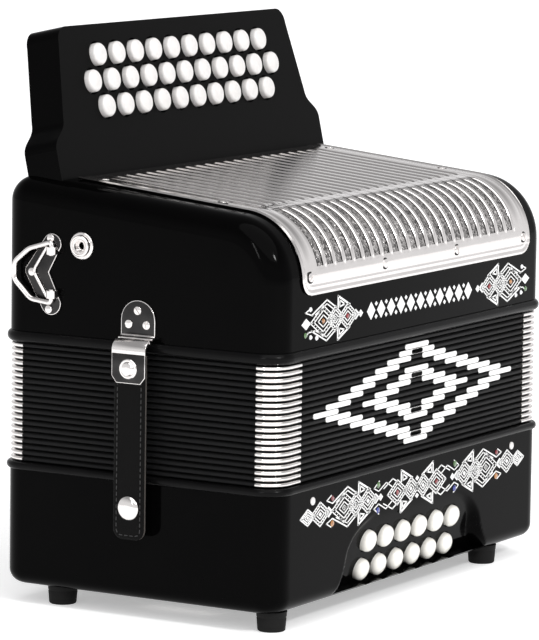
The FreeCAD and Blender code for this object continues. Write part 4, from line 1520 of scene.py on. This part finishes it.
class ACCORDION_OT_treble_keys(bpy.types.Operator):
    """Thirty-one pearl buttons, each with its lever and pallet"""
    bl_idname = "accordion.treble_keys"
    bl_label = "Treble keys"

    def execute(self, context):
        own = settings("keys")
        out = Vector((0, -math.cos(own.tilt), math.sin(own.tilt)))
        for node, column, row in treble_rows():
            parts = split_islands(frame_copy(node, node + "_parts", 30.0))
            parts.sort(key=lambda part: -middle(part).z)
            button, *rest = parts
            bpy.data.objects.remove(button)
            rest.sort(key=lambda part: middle(part).z)
            pallet, levers = rest[0], rest[1:]
            foot = board_place(column * BUTTON_PITCH, row * ROW_PITCH, 0)
            profile = [(2.0 * MM, -8.95 * MM), (2.0 * MM, -4.5 * MM), (own.radius * 0.97, -4.45 * MM)]
            profile += dome(own.radius, own.proud, 1.9 * MM, 4.4 * MM, 0.55 * MM, 6)
            cap = turned("cap", foot, out, profile, 40)
            smooth(cap, 40.0)
            painted(cap, "pearl")
            for lever in levers:
                painted(lever, "alloy")
            painted(pallet, "felt")
            key = joined(node + "_finished", [cap, pallet] + levers)
            mounted(key, node, "pearl", [node])
        return {"FINISHED"}


class ACCORDION_OT_bass_keys(bpy.types.Operator):
    """Twelve ivory-coloured bass buttons, each with its push rod and pallet"""
    bl_idname = "accordion.bass_keys"
    bl_label = "Bass keys"

    def execute(self, context):
        own = settings("keys")
        out = panel_outward()
        for node, spot in bass_key_spots():
            parts = split_islands(frame_copy(node, node + "_parts", 30.0))
            parts.sort(key=lambda part: middle(part).y)
            button, *rest = parts
            bpy.data.objects.remove(button)
            radius, height = own.bass_radius, 5.0 * MM
            profile = [(2.0 * MM, -26.0 * MM), (2.0 * MM, -3.05 * MM), (radius * 0.98, -3.0 * MM),
                       (radius, -2.8 * MM), (radius, 0.9 * MM)]
            for i in range(1, 13):
                share = i / 12
                profile.append((radius * (1 - share ** 2.3) ** (1 / 2.1),
                                0.9 * MM + (height - 0.9 * MM) * share))
            cap = painted(turned("cap", spot, out, profile, 40), "ivory")
            for part in rest:
                painted(part, "felt")
            key = joined(node + "_finished", [cap] + rest)
            mounted(key, node, "ivory", [node])
        return {"FINISHED"}


class ACCORDION_OT_sound_boards(bpy.types.Operator):
    """Spruce sound boards with their reed blocks, inside both ends"""
    bl_idname = "accordion.sound_boards"
    bl_label = "Sound boards"

    def execute(self, context):
        for node, body in (("treble_soundboard", TREBLE), ("bass_soundboard", BASS)):
            parts = split_islands(frame_copy(node, node + "_wood", 30.0))
            for part in parts:
                narrow = part.dimensions.y < 9 * MM and part.dimensions.x > 0.2
                painted(part, "alloy" if narrow else "spruce")
            mounted(joined(node + "_wood", parts), body, "spruce", [node])
        return {"FINISHED"}


# -------------------------------------------------------------- side hardware

def one_stitch(long, end):
    """A length of thread about the origin, tapered at both ends."""
    thin, thick = 0.12 * MM, 0.3 * MM
    return turned("stitch", (0, 0, -long / 2), (0, 0, 1),
                  ((thin, 0), (thick, end), (thick, long - end), (thin, long)), 8)


def side_place(side, out, y, z):
    """Point at a distance out from one side of the casings."""
    return Vector((side * (HALF_X + out), y, z))


def side_plate(name, side, outline, out, thickness, soft):
    """A plate on a side wall; outline is (depth, height) pairs."""
    right = Vector((0, side, 0))
    across = [(side * y, z) for y, z in outline]
    return slab(name, across, side_place(side, out, 0, 0), right, (0, 0, 1), thickness, soft)


def arc(centre_a, centre_b, radius, start, end, steps):
    """Points of a circular arc, angles in degrees."""
    out = []
    for i in range(steps + 1):
        turn = math.radians(start + (end - start) * i / steps)
        out.append((centre_a + radius * math.cos(turn), centre_b + radius * math.sin(turn)))
    return out


def loop_plate_outline():
    """Boomerang plate behind the strap loop: two round lobes, a waist and a point under the loop."""
    outline = [(57.4, 188.0)] + arc(55.3, 203.7, 6.0, 190, 30, 14)
    outline += arc(69.5, 188.0, 3.6, 35, -35, 6) + arc(56.0, 171.0, 6.6, -30, -190, 14)
    return in_mm(outline)


class ACCORDION_OT_strap_loops(bpy.types.Operator):
    """Strap loop brackets on both sides, and the bent wire loops hinged on them"""
    bl_idname = "accordion.strap_loops"
    bl_label = "Strap loops"

    def execute(self, context):
        fittings = []
        for side, word in SIDES:
            fittings += self.bracket(side)
            node = "strap_loop_" + word
            mounted(self.loop(side, node), node, "nickel", [node])
        mounted(joined("strap_loop_brackets", fittings), TREBLE, "nickel", ["treble_fittings"])
        return {"FINISHED"}

    def bracket(self, side):
        """Plate, knuckles, studs and the brace between the knuckles."""
        y, z = LOOP_Y, LOOP_Z
        parts = [dark_faced(side_plate("plate", side, loop_plate_outline(), 0.0, 1.3 * MM, 0.45 * MM))]
        shiny = []
        foot, tall, reach = 2.2 * MM, 4.6 * MM, 3.0 * MM
        barrel = ((foot, 0), (reach - 0.3 * MM, 0), (reach, 0.3 * MM), (reach, tall - 0.3 * MM),
                  (reach - 0.3 * MM, tall), (foot, tall))
        for start in (9.8 * MM, -14.4 * MM):
            shiny.append(turned("knuckle", side_place(side, LOOP_OUT, y, z + start), (0, 0, 1), barrel, 24))
            outline = [(-reach, start), (reach, start), (reach, start + tall), (-reach, start + tall)]
            shiny.append(slab("knuckle_foot", outline, side_place(side, 0.9 * MM, y, z), (0, side, 0),
                              (0, 0, 1), 2.0 * MM, 0.3 * MM))
        for stud_y, stud_z in ((56.0, 207.0), (57.0, 167.6), (68.2, 187.6)):
            shiny.append(turned("stud", side_place(side, 1.2 * MM, stud_y * MM, stud_z * MM), (side, 0, 0),
                                dome(2.3 * MM, 1.5 * MM, 0.5 * MM, 0.3 * MM, 0.4 * MM, 4), 24))
        brace = [side_place(side, 2.0 * MM, y + 4 * MM, z + 14 * MM),
                 side_place(side, 2.2 * MM, y + 13 * MM, z),
                 side_place(side, 2.0 * MM, y + 4 * MM, z - 14 * MM)]
        shiny.append(wire("brace", brace, 0.9 * MM, 3 * MM))
        return parts + [painted(part, "nickel") for part in shiny]

    def loop(self, side, node):
        """Wire from one knuckle's pin out to a blunt end and back to the other's."""
        half, pin = 17.0 * MM, 7.6 * MM
        bends = ((0, half - pin), (0, half), (15.0 * MM, half - 4.6 * MM), (24.6 * MM, 4.2 * MM),
                 (24.6 * MM, -5.0 * MM), (13.6 * MM, 1.6 * MM - half), (0, -half), (0, pin - half))
        route = [side_place(side, LOOP_OUT, LOOP_Y + along, LOOP_Z + up) for along, up in bends]
        return painted(wire(node + "_wire", route, 1.5 * MM, 2.6 * MM), "nickel")


class ACCORDION_OT_pickup_socket(bpy.types.Operator):
    """Turned socket for a pickup lead on the treble casing's left side"""
    bl_idname = "accordion.pickup_socket"
    bl_label = "Pickup socket"

    def execute(self, context):
        y, z = 36.5 * MM, 204.0 * MM
        flange = ((3.2, -16), (5.0, -16), (5.0, 0.0), (7.5, 0.0), (7.5, 0.7), (7.1, 1.1), (6.3, 1.2),
                  (6.2, 1.6), (5.9, 2.9), (5.5, 3.3), (4.8, 3.3), (4.5, 2.6), (3.9, 2.5), (3.6, 3.1),
                  (3.2, 3.0), (3.2, -15.9))
        metal = turned("pickup_socket_turned", side_place(-1, 0, y, z), (-1, 0, 0), in_mm(flange), 48)
        sleeve = ((3.19, -9.0), (3.19, 0.4), (2.3, 0.4), (2.0, 0.1), (2.0, -9.0))
        sleeve = turned("sleeve", side_place(-1, 0, y, z), (-1, 0, 0), in_mm(sleeve), 36)
        parts = [painted(smooth(part, 30.0), "nickel") for part in (metal, sleeve)]
        mounted(joined("pickup_socket_turned", parts), TREBLE, "nickel")
        # A near-black disc at the foot of the bore: painted shade inside the hole.
        liner = turned("pickup_socket_liner", side_place(-1, 0, y, z), (-1, 0, 0),
                       [(3.19 * MM, -15.5 * MM), (3.19 * MM, -15.0 * MM)], 32)
        mounted(painted(liner, "dark_hole"), TREBLE, "rubber")
        return {"FINISHED"}


class ACCORDION_OT_bellows_straps(bpy.types.Operator):
    """Bellows straps: hinge bracket, metal tongue, stitched leather and snap fasteners"""
    bl_idname = "accordion.bellows_straps"
    bl_label = "Bellows straps"

    def execute(self, context):
        brackets = []
        for side, word in SIDES:
            brackets += self.bracket(side, STRAP_Y)
            self.strap(side, word, STRAP_Y)
        mounted(joined("strap_hinge_brackets", brackets), TREBLE, "nickel")
        return {"FINISHED"}

    def bracket(self, side, y):
        """Arched plate with three screws, bent out at its foot to the hinge pin."""
        half = 11.0 * MM
        arch = [(y - half, 157.2 * MM), (y + half, 157.2 * MM)]
        arch += arc(y, 166.0 * MM, half, 0, 180, 16)
        parts = [dark_faced(side_plate("arch", side, arch, 0.0, 1.4 * MM, 0.5 * MM))]
        shelf = [(0.0, 158.2), (1.5, 158.2), (2.0, 157.3), (4.0, 156.8), (4.3, 156.3), (4.2, 155.6),
                 (1.6, 155.9), (0.0, 156.3)]
        pin = turned("pin", side_place(side, 6 * MM, y - half - 0.2 * MM, 155.0 * MM), (0, 1, 0),
                     ((0.9 * MM, 0), (1.2 * MM, 0.2 * MM), (1.2 * MM, 2 * half),
                      (0.9 * MM, 2 * half + 0.4 * MM)), 20)
        spots = [side_place(side, 1.3 * MM, y + dy * MM, z * MM)
                 for dy, z in ((0, 171.3), (-5.7, 163.6), (5.7, 163.6))]
        screws = repeated("screws", screw_head(2.35 * MM, 0.9 * MM), "nickel", spots,
                          facing=[(side, 0, 0)] * 3, spread=1.4)
        shiny = [self.folded(side, shelf, y - half, y + half), pin]
        return parts + [painted(part, "nickel") for part in shiny] + [screws]

    def folded(self, side, outline, start, end):
        """A bent strip: outline is (out, height) pairs in millimetres, carried from start to end."""
        points = [side_place(side, out * MM, y, z * MM) for y in (start, end) for out, z in outline]
        strip = outward(mesh_object("fold", points, tube_faces(2, len(outline))))
        return smooth(bevelled(strip, 0.3 * MM), 40.0)

    def strap(self, side, word, y):
        node = "bellows_strap_" + word
        half = 10.8 * MM
        bend = [(4.95, 155.9), (6.2, 156.35), (7.2, 156.0), (10.1, 153.2), (10.9, 151.2), (10.9, 148.0),
                (9.6, 148.0), (9.6, 150.8), (8.9, 152.2), (6.2, 154.9), (4.95, 155.1)]
        wide = [(y - half, 149.0 * MM), (y + half, 149.0 * MM), (y + half, 136.0 * MM),
                (y + 7.8 * MM, 132.2 * MM), (y - 7.8 * MM, 132.2 * MM), (y - half, 136.0 * MM)]
        metal = [self.folded(side, bend, y - half, y + half)]
        snap = [(5.6, -0.2), (5.6, 0.3), (5.2, 0.8), (4.6, 0.95), (4.1, 0.8), (3.9, 1.1), (3.4, 1.8),
                (2.4, 2.15), (1.0, 2.3)]
        snap_place = side_place(side, 10.85 * MM, y, 140.3 * MM)
        metal.append(turned("snap", snap_place, (side, 0, 0), in_mm(snap), 40))
        button = [(5.4, -0.2), (6.5, 0.1), (6.6, 0.5), (6.1, 1.15), (5.0, 1.75), (3.4, 2.25), (1.6, 2.5)]
        metal.append(turned("snap", side_place(side, 9.45 * MM, y, STUD_Z), (side, 0, 0), in_mm(button), 40))
        for part in metal:
            painted(part, "nickel")
        metal.append(dark_faced(side_plate("tongue", side, wide, 9.6 * MM, 1.3 * MM, 0.45 * MM)))
        piece = joined(node + "_finished", [self.leather(side, y)] + metal)
        mounted(piece, node, "leather", [node])
        self.stitches(side, node, y)

    def outline(self, y, inset):
        half = 10 * MM - inset
        low = 46.0 * MM + inset
        bend = max(6 * MM - inset, 0.5 * MM)
        points = [(y + half, 148 * MM - inset)]
        points += [(y + half, (148 - step * 11.5) * MM - inset) for step in range(1, 8)]
        points += arc(y + half - bend, low + bend, bend, 0, -90, 7)
        points += arc(y - half + bend, low + bend, bend, -90, -180, 7)
        points += [(y - half, (148 - step * 11.5) * MM - inset) for step in range(7, 0, -1)]
        points.append((y - half, 148 * MM - inset))
        return points

    def leather(self, side, y):
        """Two plies of leather with a crowned face and a cut edge."""
        layers = ((0.6, 7.15), (0.0, 7.6), (0.0, 8.9), (0.35, 9.3), (1.2, 9.48), (2.4, 9.42), (3.0, 9.5),
                  (5.5, 9.55))
        points = []
        for inset, out in layers:
            points += [side_place(side, out * MM, a, b) for a, b in self.outline(y, inset * MM)]
        count = len(self.outline(y, 0.0))
        strap = outward(mesh_object("leather", points, tube_faces(len(layers), count)))
        smooth(strap, 50.0)
        painted(strap, "leather", "leather_edge")
        for face in strap.data.polygons:
            if abs(face.normal.x) < 0.5 and abs(face.center.x) < HALF_X + 8.9 * MM:
                face.material_index = 1
        return strap

    def stitches(self, side, node, y):
        """A row of thread along both edges of the strap."""
        stitch = one_stitch(2.3 * MM, 0.35 * MM)
        route = self.outline(y, 2.4 * MM)
        spots, facing = [], []
        gap = 3.4 * MM
        left = 0.0
        for (a0, b0), (a1, b1) in zip(route, route[1:]):
            run = math.hypot(a1 - a0, b1 - b0)
            while left < run:
                share = left / run
                spots.append(side_place(side, 9.52 * MM, a0 + (a1 - a0) * share, b0 + (b1 - b0) * share))
                facing.append((0, (a1 - a0) / run, (b1 - b0) / run))
                left += gap
            left -= run
        thread = smooth(repeated(node + "_stitches", stitch, "thread", spots, facing=facing), 60.0)
        mounted(thread, node, "leather")


class ACCORDION_OT_feet(bpy.types.Operator):
    """Four rubber feet with moulded grooves"""
    bl_idname = "accordion.feet"
    bl_label = "Rubber feet"

    def execute(self, context):
        profile = ((2.2, 1.4), (2.4, 0.9), (3.4, 0.0), (7.0, 0.0), (7.6, 0.5), (7.72, 1.2), (8.2, 7.0),
                   (8.05, 7.3), (8.05, 7.8), (8.3, 8.1), (8.45, 10.2), (8.6, 10.6), (8.6, 11.0))
        feet = []
        for x in (-137, 107):
            for y in (-76.5, 59):
                foot = turned("foot", (x * MM, y * MM, 0), (0, 0, 1), in_mm(profile), 40)
                feet.append(painted(smooth(foot, 40.0), "rubber"))
        mounted(joined("rubber_feet_moulded", feet), BASS, "rubber", ["rubber_feet"])
        return {"FINISHED"}


class ACCORDION_OT_hand_strap(bpy.types.Operator):
    """Padded leather hand strap under the bass end, with its plates and screws"""
    bl_idname = "accordion.hand_strap"
    bl_label = "Hand strap"

    def execute(self, context):
        left, right = -122 * MM, 92 * MM
        front, rear = -30 * MM, 15 * MM
        rises = in_mm(((0, 9.75), (8, 9.75), (16, 7.6), (26, 4.6), (40, 4.25)))
        line = [(left + x, z) for x, z in rises] + [(right - x, z) for x, z in reversed(rises)]
        mounted(self.leather(line, front, rear), BASS, "leather", ["hand_strap"])
        plates = []
        spots = []
        for x in (left, right - 8 * MM):
            outline = [(x, front), (x + 8 * MM, front), (x + 8 * MM, rear), (x, rear)]
            plates.append(slab("plate", outline, (0, 0, 7.35 * MM), (1, 0, 0), (0, 1, 0), 1.1 * MM, 0.4 * MM))
            spots += [(x + 4 * MM, y * MM, 7.4 * MM) for y in (-24, -7.5, 9)]
        screws = repeated("screws", screw_head(2.2 * MM, 0.7 * MM), "nickel", spots,
                          facing=[(0, 0, -1)] * 6, spread=1.2)
        for plate in plates:
            painted(plate, "nickel")
        mounted(joined("hand_strap_plates", plates + [screws]), BASS, "nickel")
        stitch = one_stitch(2.6 * MM, 0.4 * MM)
        spots, facing = [], []
        for y in (front + 3 * MM, rear - 3 * MM):
            x = left + 11 * MM
            while x < right - 11 * MM:
                slope = (lying(line, x + MM) - lying(line, x - MM)) / (2 * MM)
                spots.append((x, y, lying(line, x) - 1.2 * MM))
                facing.append(tuple(Vector((1, 0, slope)).normalized()))
                x += 3.6 * MM
        thread = smooth(repeated("hand_strap_stitches", stitch, "thread", spots, facing=facing), 60.0)
        mounted(thread, BASS, "leather")
        return {"FINISHED"}

    def leather(self, line, front, rear):
        """Leather carried along a line, a little crowned and thinner at its edges."""
        steps, thick, crown = 14, 1.2 * MM, 0.05 * MM
        columns = spread_between([x for x, z in line], 6 * MM)
        points = []
        for x in columns:
            level = lying(line, x)
            upper, under = [], []
            for i in range(steps + 1):
                y = front + (rear - front) * i / steps
                share = (y - (front + rear) / 2) / ((rear - front) / 2)
                half = thick * (1 - max(abs(share) - 0.9, 0.0) * 5)
                upper.append(Vector((x, y, level + half + crown * (1 - share * share))))
                under.append(Vector((x, y, level - half)))
            points += upper + under[::-1]
        faces = tube_faces(len(columns), 2 * (steps + 1))
        return painted(smooth(outward(mesh_object("hand_strap_leather", points, faces)), 60.0), "leather")


class ACCORDION_OT_air_button(bpy.types.Operator):
    """Air release button with its collar"""
    bl_idname = "accordion.air_button"
    bl_label = "Air button"

    def execute(self, context):
        low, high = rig.box("air_button")
        y, z = (low.y + high.y) / 2, (low.z + high.z) / 2
        start = low.x
        profile = [(2.0 * MM, 0), (2.0 * MM, 20 * MM), (5.9 * MM, 20.2 * MM)]
        tip = high.x - low.x
        profile += [(6.0 * MM, tip - 2.0 * MM), (5.6 * MM, tip - 0.9 * MM), (4.6 * MM, tip - 0.35 * MM),
                    (2.6 * MM, tip), (1.0 * MM, tip)]
        button = painted(turned("air_button_turned", (start, y, z), (1, 0, 0), profile, 40), "ivory")
        mounted(button, "air_button", "ivory", ["air_button"])
        rim = ((6.65, -3), (6.65, 0.9), (7.2, 1.2), (8.6, 0.8), (8.9, 0.0), (8.9, -0.3), (6.9, -0.4),
               (6.9, -3))
        collar = turned("air_button_collar", (HALF_X, y, z), (1, 0, 0), in_mm(rim), 40)
        mounted(painted(smooth(collar, 30.0), "nickel"), BASS, "nickel")
        return {"FINISHED"}


# ----------------------------------------------------------------- ornament

class Inlay:
    """Collects the lines, filled shapes and stones of an ornament on the front."""

    def __init__(self, x, z):
        self.x, self.z, self.sign = x, z, 1
        self.points, self.faces, self.stones = [], [], []

    def face(self, mirrored):
        """Draw outwards to the right, or mirrored to the left."""
        self.sign = -1 if mirrored else 1

    def flat(self, a, b):
        return self.x + self.sign * a * MM, self.z + b * MM

    def prism(self, outline):
        """A shallow prism on the front from an outline of plane points."""
        own = settings("ornament")
        first = len(self.points)
        count = len(outline)
        for y in (FRONT_Y + 0.3 * MM, FRONT_Y - own.relief):
            self.points += [Vector((a, y, b)) for a, b in outline]
        self.faces += [tuple(first + i for i in face) for face in tube_faces(2, count)]

    def line(self, route, closed=False, width=None):
        """A mitred strip along (across, up) points, in millimetres."""
        own = settings("ornament")
        half = (width or own.stroke) / 2
        route = [Vector(self.flat(a, b)) for a, b in route]
        if closed:
            route = route + [route[0], route[1]]
        for i in range(len(route) - 1 - (1 if closed else 0)):
            a, b = route[i], route[i + 1]
            along = (b - a).normalized()
            side = Vector((-along.y, along.x)) * half
            reach = along * half * 0.7
            start = a - (reach if i or closed else Vector((0, 0)))
            end = b + reach
            self.prism([start - side, end - side, end + side, start + side])

    def lozenge(self, a, wide, high, b=0.0):
        return [(a - wide, b), (a, b - high), (a + wide, b), (a, b + high)]

    def filled(self, outline):
        self.prism([self.flat(a, b) for a, b in outline])

    def stone(self, a, b, kind, radius=1.5):
        self.stones.append((kind, self.flat(a, b), radius * MM))

    def nested(self, a, wide, high, rings=3, stone=None):
        """Lozenges inside one another, beaded between, round a small filled one or a stone."""
        for ring in range(rings):
            share = 1 - 0.3 * ring
            self.line(self.lozenge(a, wide * share, high * share), True)
        for i in range(20):
            turn, side = i / 5 % 1.0, i // 5
            across = (1 - turn, -turn, turn - 1, turn)[side] * wide * 0.85
            up = (turn, 1 - turn, -turn, turn - 1)[side] * high * 0.85
            self.filled(self.lozenge(a + across, 0.42, 0.32, up))
        if stone:
            self.stone(a, 0, stone)
        else:
            self.filled(self.lozenge(a, wide * 0.17, high * 0.2))

    def wings(self, a, reach):
        """A pointed wing above and below: an upright edge and a long slope, with a smaller one inside."""
        for sign in (-1, 1):
            self.line([(a, sign * 5.2), (a, sign * 12.0), (a + reach, sign * 6.2)], width=1.1 * MM)
            inner = [(a + reach * 0.14, sign * 6.0), (a + reach * 0.14, sign * 9.6),
                     (a + reach * 0.55, sign * 7.0)]
            self.line(inner, True, 0.8 * MM)

    def cluster(self, at, outer, inner):
        """Three nested lozenges with wings and chevrons, ending in two filled ones."""
        self.nested(at, 14.0, 8.4, 4, outer)
        self.nested(at - 13.3, 9.2, 7.0)
        self.nested(at - 26.8, 10.6, 7.2, 3, inner)
        self.wings(at - 16.0, -13.0)
        for sign in (-1, 1):
            self.line([(at + 13.0, sign * 4.2), (at - 3.7, sign * 11.2), (at - 15.0, sign * 5.6)],
                      width=0.8 * MM)
            self.line([(at + 9.0, sign * 4.2), (at - 3.7, sign * 9.1), (at - 11.5, sign * 5.2)])
        self.filled(self.lozenge(at - 35.6, 4.4, 3.0))
        self.filled(self.lozenge(at - 41.2, 2.6, 2.1))

    def built(self, name):
        body = mesh_object(name, self.points, self.faces)
        mended(body.data, facing=True)
        return painted(body, "inlay")

    def set_stones(self, name, body):
        """Faceted stones, one piece for each colour."""
        for kind in sorted({kind for kind, spot, radius in self.stones}):
            chosen = [(spot, radius) for found, spot, radius in self.stones if found == kind]
            radius = chosen[0][1]
            cut = ((radius, -0.2 * MM), (radius, 0.15 * MM), (radius * 0.55, 0.75 * MM))
            stone = upright("stone", cut, 8)
            stone.data.shade_flat()
            spots = [(a, FRONT_Y - 0.1 * MM, b) for (a, b), _ in chosen]
            stones = repeated(name + "_" + kind, stone, kind, spots, facing=[(0, -1, 0)] * len(spots),
                              spread=0.4)
            mounted(stones, body, "pearl")


class ACCORDION_OT_treble_ornament(bpy.types.Operator):
    """Line ornament with stones on the treble casing, round a plain band of lozenges"""
    bl_idname = "accordion.treble_ornament"
    bl_label = "Treble ornament"

    def execute(self, context):
        own = settings("ornament")
        inlay = Inlay(own.centre, own.treble_level)
        for mirrored in (False, True):
            inlay.face(mirrored)
            inlay.cluster(110.0, "gem_amber", "gem_red")
            inlay.filled(inlay.lozenge(128.6, 4.9, 3.1))
            inlay.line([(121.5, 4.0), (129.5, 6.2), (123.0, 8.4)])
            inlay.line([(118.0, -4.4), (126.0, -4.8), (129.0, -7.0)])
            inlay.stone(124.0, 7.6, "gem_clear", 1.4)
            inlay.stone(129.0, -6.0, "gem_green", 1.6)
            inlay.stone(123.5, -7.6, "gem_clear", 1.6)
            inlay.stone(117.0, -8.6, "gem_clear", 1.6)
        for number in range(-5, 6):
            inlay.filled(inlay.lozenge(number * 11.4, 4.6, 5.0))
        for number in range(-5, 5):
            for sign in (-1, 1):
                inlay.filled(inlay.lozenge((number + 0.5) * 11.4, 1.5, 1.3, sign * 3.6))
        body = inlay.built("treble_ornament_lines")
        mounted(body, TREBLE, "pearl")
        inlay.set_stones("treble_stones", TREBLE)
        return {"FINISHED"}


class ACCORDION_OT_bass_ornament(bpy.types.Operator):
    """Line ornament with stones across the bass casing"""
    bl_idname = "accordion.bass_ornament"
    bl_label = "Bass ornament"

    def execute(self, context):
        own = settings("ornament")
        inlay = Inlay(own.centre, own.bass_level)
        for mirrored in (False, True):
            inlay.face(mirrored)
            inlay.nested(123.6, 8.2, 4.6)
            inlay.nested(110.0, 10.6, 6.8)
            inlay.filled(inlay.lozenge(100.8, 4.6, 3.1))
            inlay.cluster(83.6, None, None)
            self.middle(inlay)
            for sign, outer, inner in ((1, "gem_red", "gem_green"), (-1, "gem_amber", "gem_blue")):
                inlay.line([(96.6, sign * 4.2), (103.0, sign * 6.4), (98.0, sign * 8.8)])
                inlay.stone(96.6, sign * 7.0, outer, 1.9)
                inlay.line([(44.0, sign * 9.4), (50.0, sign * 5.8), (44.6, sign * 3.6), (36.1, sign * 7.5),
                            (28.6, sign * 3.8)])
                inlay.line([(39.1, sign * 4.2), (28.6, sign * 8.6), (23.0, sign * 6.1)])
                inlay.stone(45.2, sign * 7.2, inner, 1.9)
        inlay.filled(inlay.lozenge(0, 2.4, 2.6))
        for sign in (-1, 1):
            inlay.filled(inlay.lozenge(0, 2.1, 1.5, sign * 5.0))
        body = inlay.built("bass_ornament_lines")
        mounted(body, BASS, "pearl")
        inlay.set_stones("bass_stones", BASS)
        return {"FINISHED"}

    def middle(self, inlay):
        """One half of the group in the middle, round a red stone."""
        inlay.nested(23.0, 11.6, 7.2, 3, "gem_red")
        inlay.nested(7.2, 9.2, 6.6)
        inlay.wings(18.7, -13.0)


# -------------------------------------------------------------------- stage

class ACCORDION_OT_stage(bpy.types.Operator):
    """Pale floor, soft studio light and the camera"""
    bl_idname = "accordion.stage"
    bl_label = "Stage"

    def execute(self, context):
        own = settings("stage")
        scene = context.scene
        scene.view_settings.view_transform = "Standard"
        reach = own.floor
        corners = [(-reach, -reach, 0), (reach, -reach, 0), (reach, reach, 0), (-reach, reach, 0)]
        floor = mesh_object("floor", corners, [(0, 1, 2, 3)])
        made = Finish("floor", roughness=0.9, specular_ior_level=0.1, emission_strength=0.42)
        pale = made.blend(made.noise(3.0), (0.93, 0.93, 0.93), (0.95, 0.95, 0.95))
        made.drive(base_color=pale, emission_color=pale)
        floor.data.materials.append(made.material)
        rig.stage(floor)
        scene.world = self.room()
        self.add_light("key", (-0.9, -2.2, 1.7), (0, 0, 0.18), 0.2, 0.28, 26.0)
        self.add_light("edge", (-2.3, -0.2, 1.2), (0, 0, 0.20), 0.08, 0.9, 7.0)
        sun = bpy.data.lights.new("sky", "SUN")
        sun.energy = 1.5
        sun.angle = math.radians(70)
        lamp = bpy.data.objects.new("sky", sun)
        lamp.rotation_euler = (math.radians(22), math.radians(-18), 0)
        scene.collection.objects.link(lamp)
        self.add_camera(scene, own)
        return {"FINISHED"}

    def room(self):
        """Surroundings: bright round the horizon, dim overhead."""
        world = bpy.data.worlds.new("Studio")
        world.use_nodes = True
        tree = world.node_tree
        place = tree.nodes.new("ShaderNodeTexCoord")
        split = tree.nodes.new("ShaderNodeSeparateXYZ")
        ramp = tree.nodes.new("ShaderNodeValToRGB")
        stops = ((0.22, (0.85, 0.85, 0.86, 1)), (0.70, (0.34, 0.34, 0.345, 1)))
        for element, (position, shade) in zip(ramp.color_ramp.elements, stops):
            element.position, element.color = position, shade
        tree.links.new(place.outputs["Generated"], split.inputs[0])
        tree.links.new(split.outputs["Z"], ramp.inputs[0])
        tree.links.new(ramp.outputs[0], tree.nodes["Background"].inputs["Color"])
        tree.nodes["Background"].inputs["Strength"].default_value = 1.0
        return world

    def add_light(self, name, place, target, wide, high, power):
        light = bpy.data.lights.new(name, "AREA")
        light.shape = "RECTANGLE"
        light.size, light.size_y = wide, high
        light.energy = power
        lamp = bpy.data.objects.new(name, light)
        bpy.context.scene.collection.objects.link(lamp)
        look = Vector(target) - Vector(place)
        lamp.matrix_world = Matrix.Translation(place) @ look.to_track_quat("-Z", "Y").to_matrix().to_4x4()
        return lamp

    def add_camera(self, scene, own):
        data = bpy.data.cameras.new("Camera")
        data.lens = own.lens
        data.sensor_width = 36.0
        data.sensor_fit = "AUTO"
        data.clip_start, data.clip_end = 0.05, 60.0
        camera = bpy.data.objects.new("Camera", data)
        scene.collection.objects.link(camera)
        camera.matrix_world = (Matrix.Translation(own.place) @ Matrix.Rotation(-own.yaw, 4, "Z")
                               @ Matrix.Rotation(math.pi / 2 - own.pitch, 4, "X")
                               @ Matrix.Rotation(own.roll, 4, "Z"))
        scene.camera = camera


# -------------------------------------------------------------- registration

PIECES = (ACCORDION_OT_stage, ACCORDION_OT_treble_shell, ACCORDION_OT_bass_shell, ACCORDION_OT_bellows_frames,
          ACCORDION_OT_bellows_folds, ACCORDION_OT_corner_caps, ACCORDION_OT_fold_motif, ACCORDION_OT_grille,
          ACCORDION_OT_fingerboard, ACCORDION_OT_treble_keys, ACCORDION_OT_bass_keys,
          ACCORDION_OT_sound_boards, ACCORDION_OT_strap_loops, ACCORDION_OT_pickup_socket,
          ACCORDION_OT_bellows_straps, ACCORDION_OT_feet, ACCORDION_OT_hand_strap, ACCORDION_OT_air_button,
          ACCORDION_OT_treble_ornament, ACCORDION_OT_bass_ornament)


class ACCORDION_PT_pieces(bpy.types.Panel):
    """Lists the accordion's pieces"""
    bl_idname = "ACCORDION_PT_pieces"
    bl_label = "Accordion"
    bl_space_type = "VIEW_3D"
    bl_region_type = "UI"
    bl_category = "Accordion"

    def draw(self, context):
        for group, kind in GROUPS:
            column = self.layout.column(heading=group.title())
            for name in kind.__annotations__:
                column.prop(getattr(context.scene, "accordion_" + group), name)
        for piece in PIECES:
            self.layout.operator(piece.bl_idname)


def register():
    for group, kind in GROUPS:
        bpy.utils.register_class(kind)
        setattr(bpy.types.Scene, "accordion_" + group, PointerProperty(type=kind))
    for kind in PIECES + (ACCORDION_PT_pieces,):
        bpy.utils.register_class(kind)


def unregister():
    for kind in reversed(PIECES + (ACCORDION_PT_pieces,)):
        bpy.utils.unregister_class(kind)
    for group, kind in reversed(GROUPS):
        delattr(bpy.types.Scene, "accordion_" + group)
        bpy.utils.unregister_class(kind)


def main():
    register()
    for piece in PIECES:
        group, name = piece.bl_idname.split(".")
        getattr(getattr(bpy.ops, group), name)()
    with open("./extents.json", "w") as file:
        json.dump({"cad": [list(corner) for corner in CAD_BOX],
                   "visual": [list(corner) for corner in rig.bounds()]}, file)


if __name__ == "__main__":
    main()
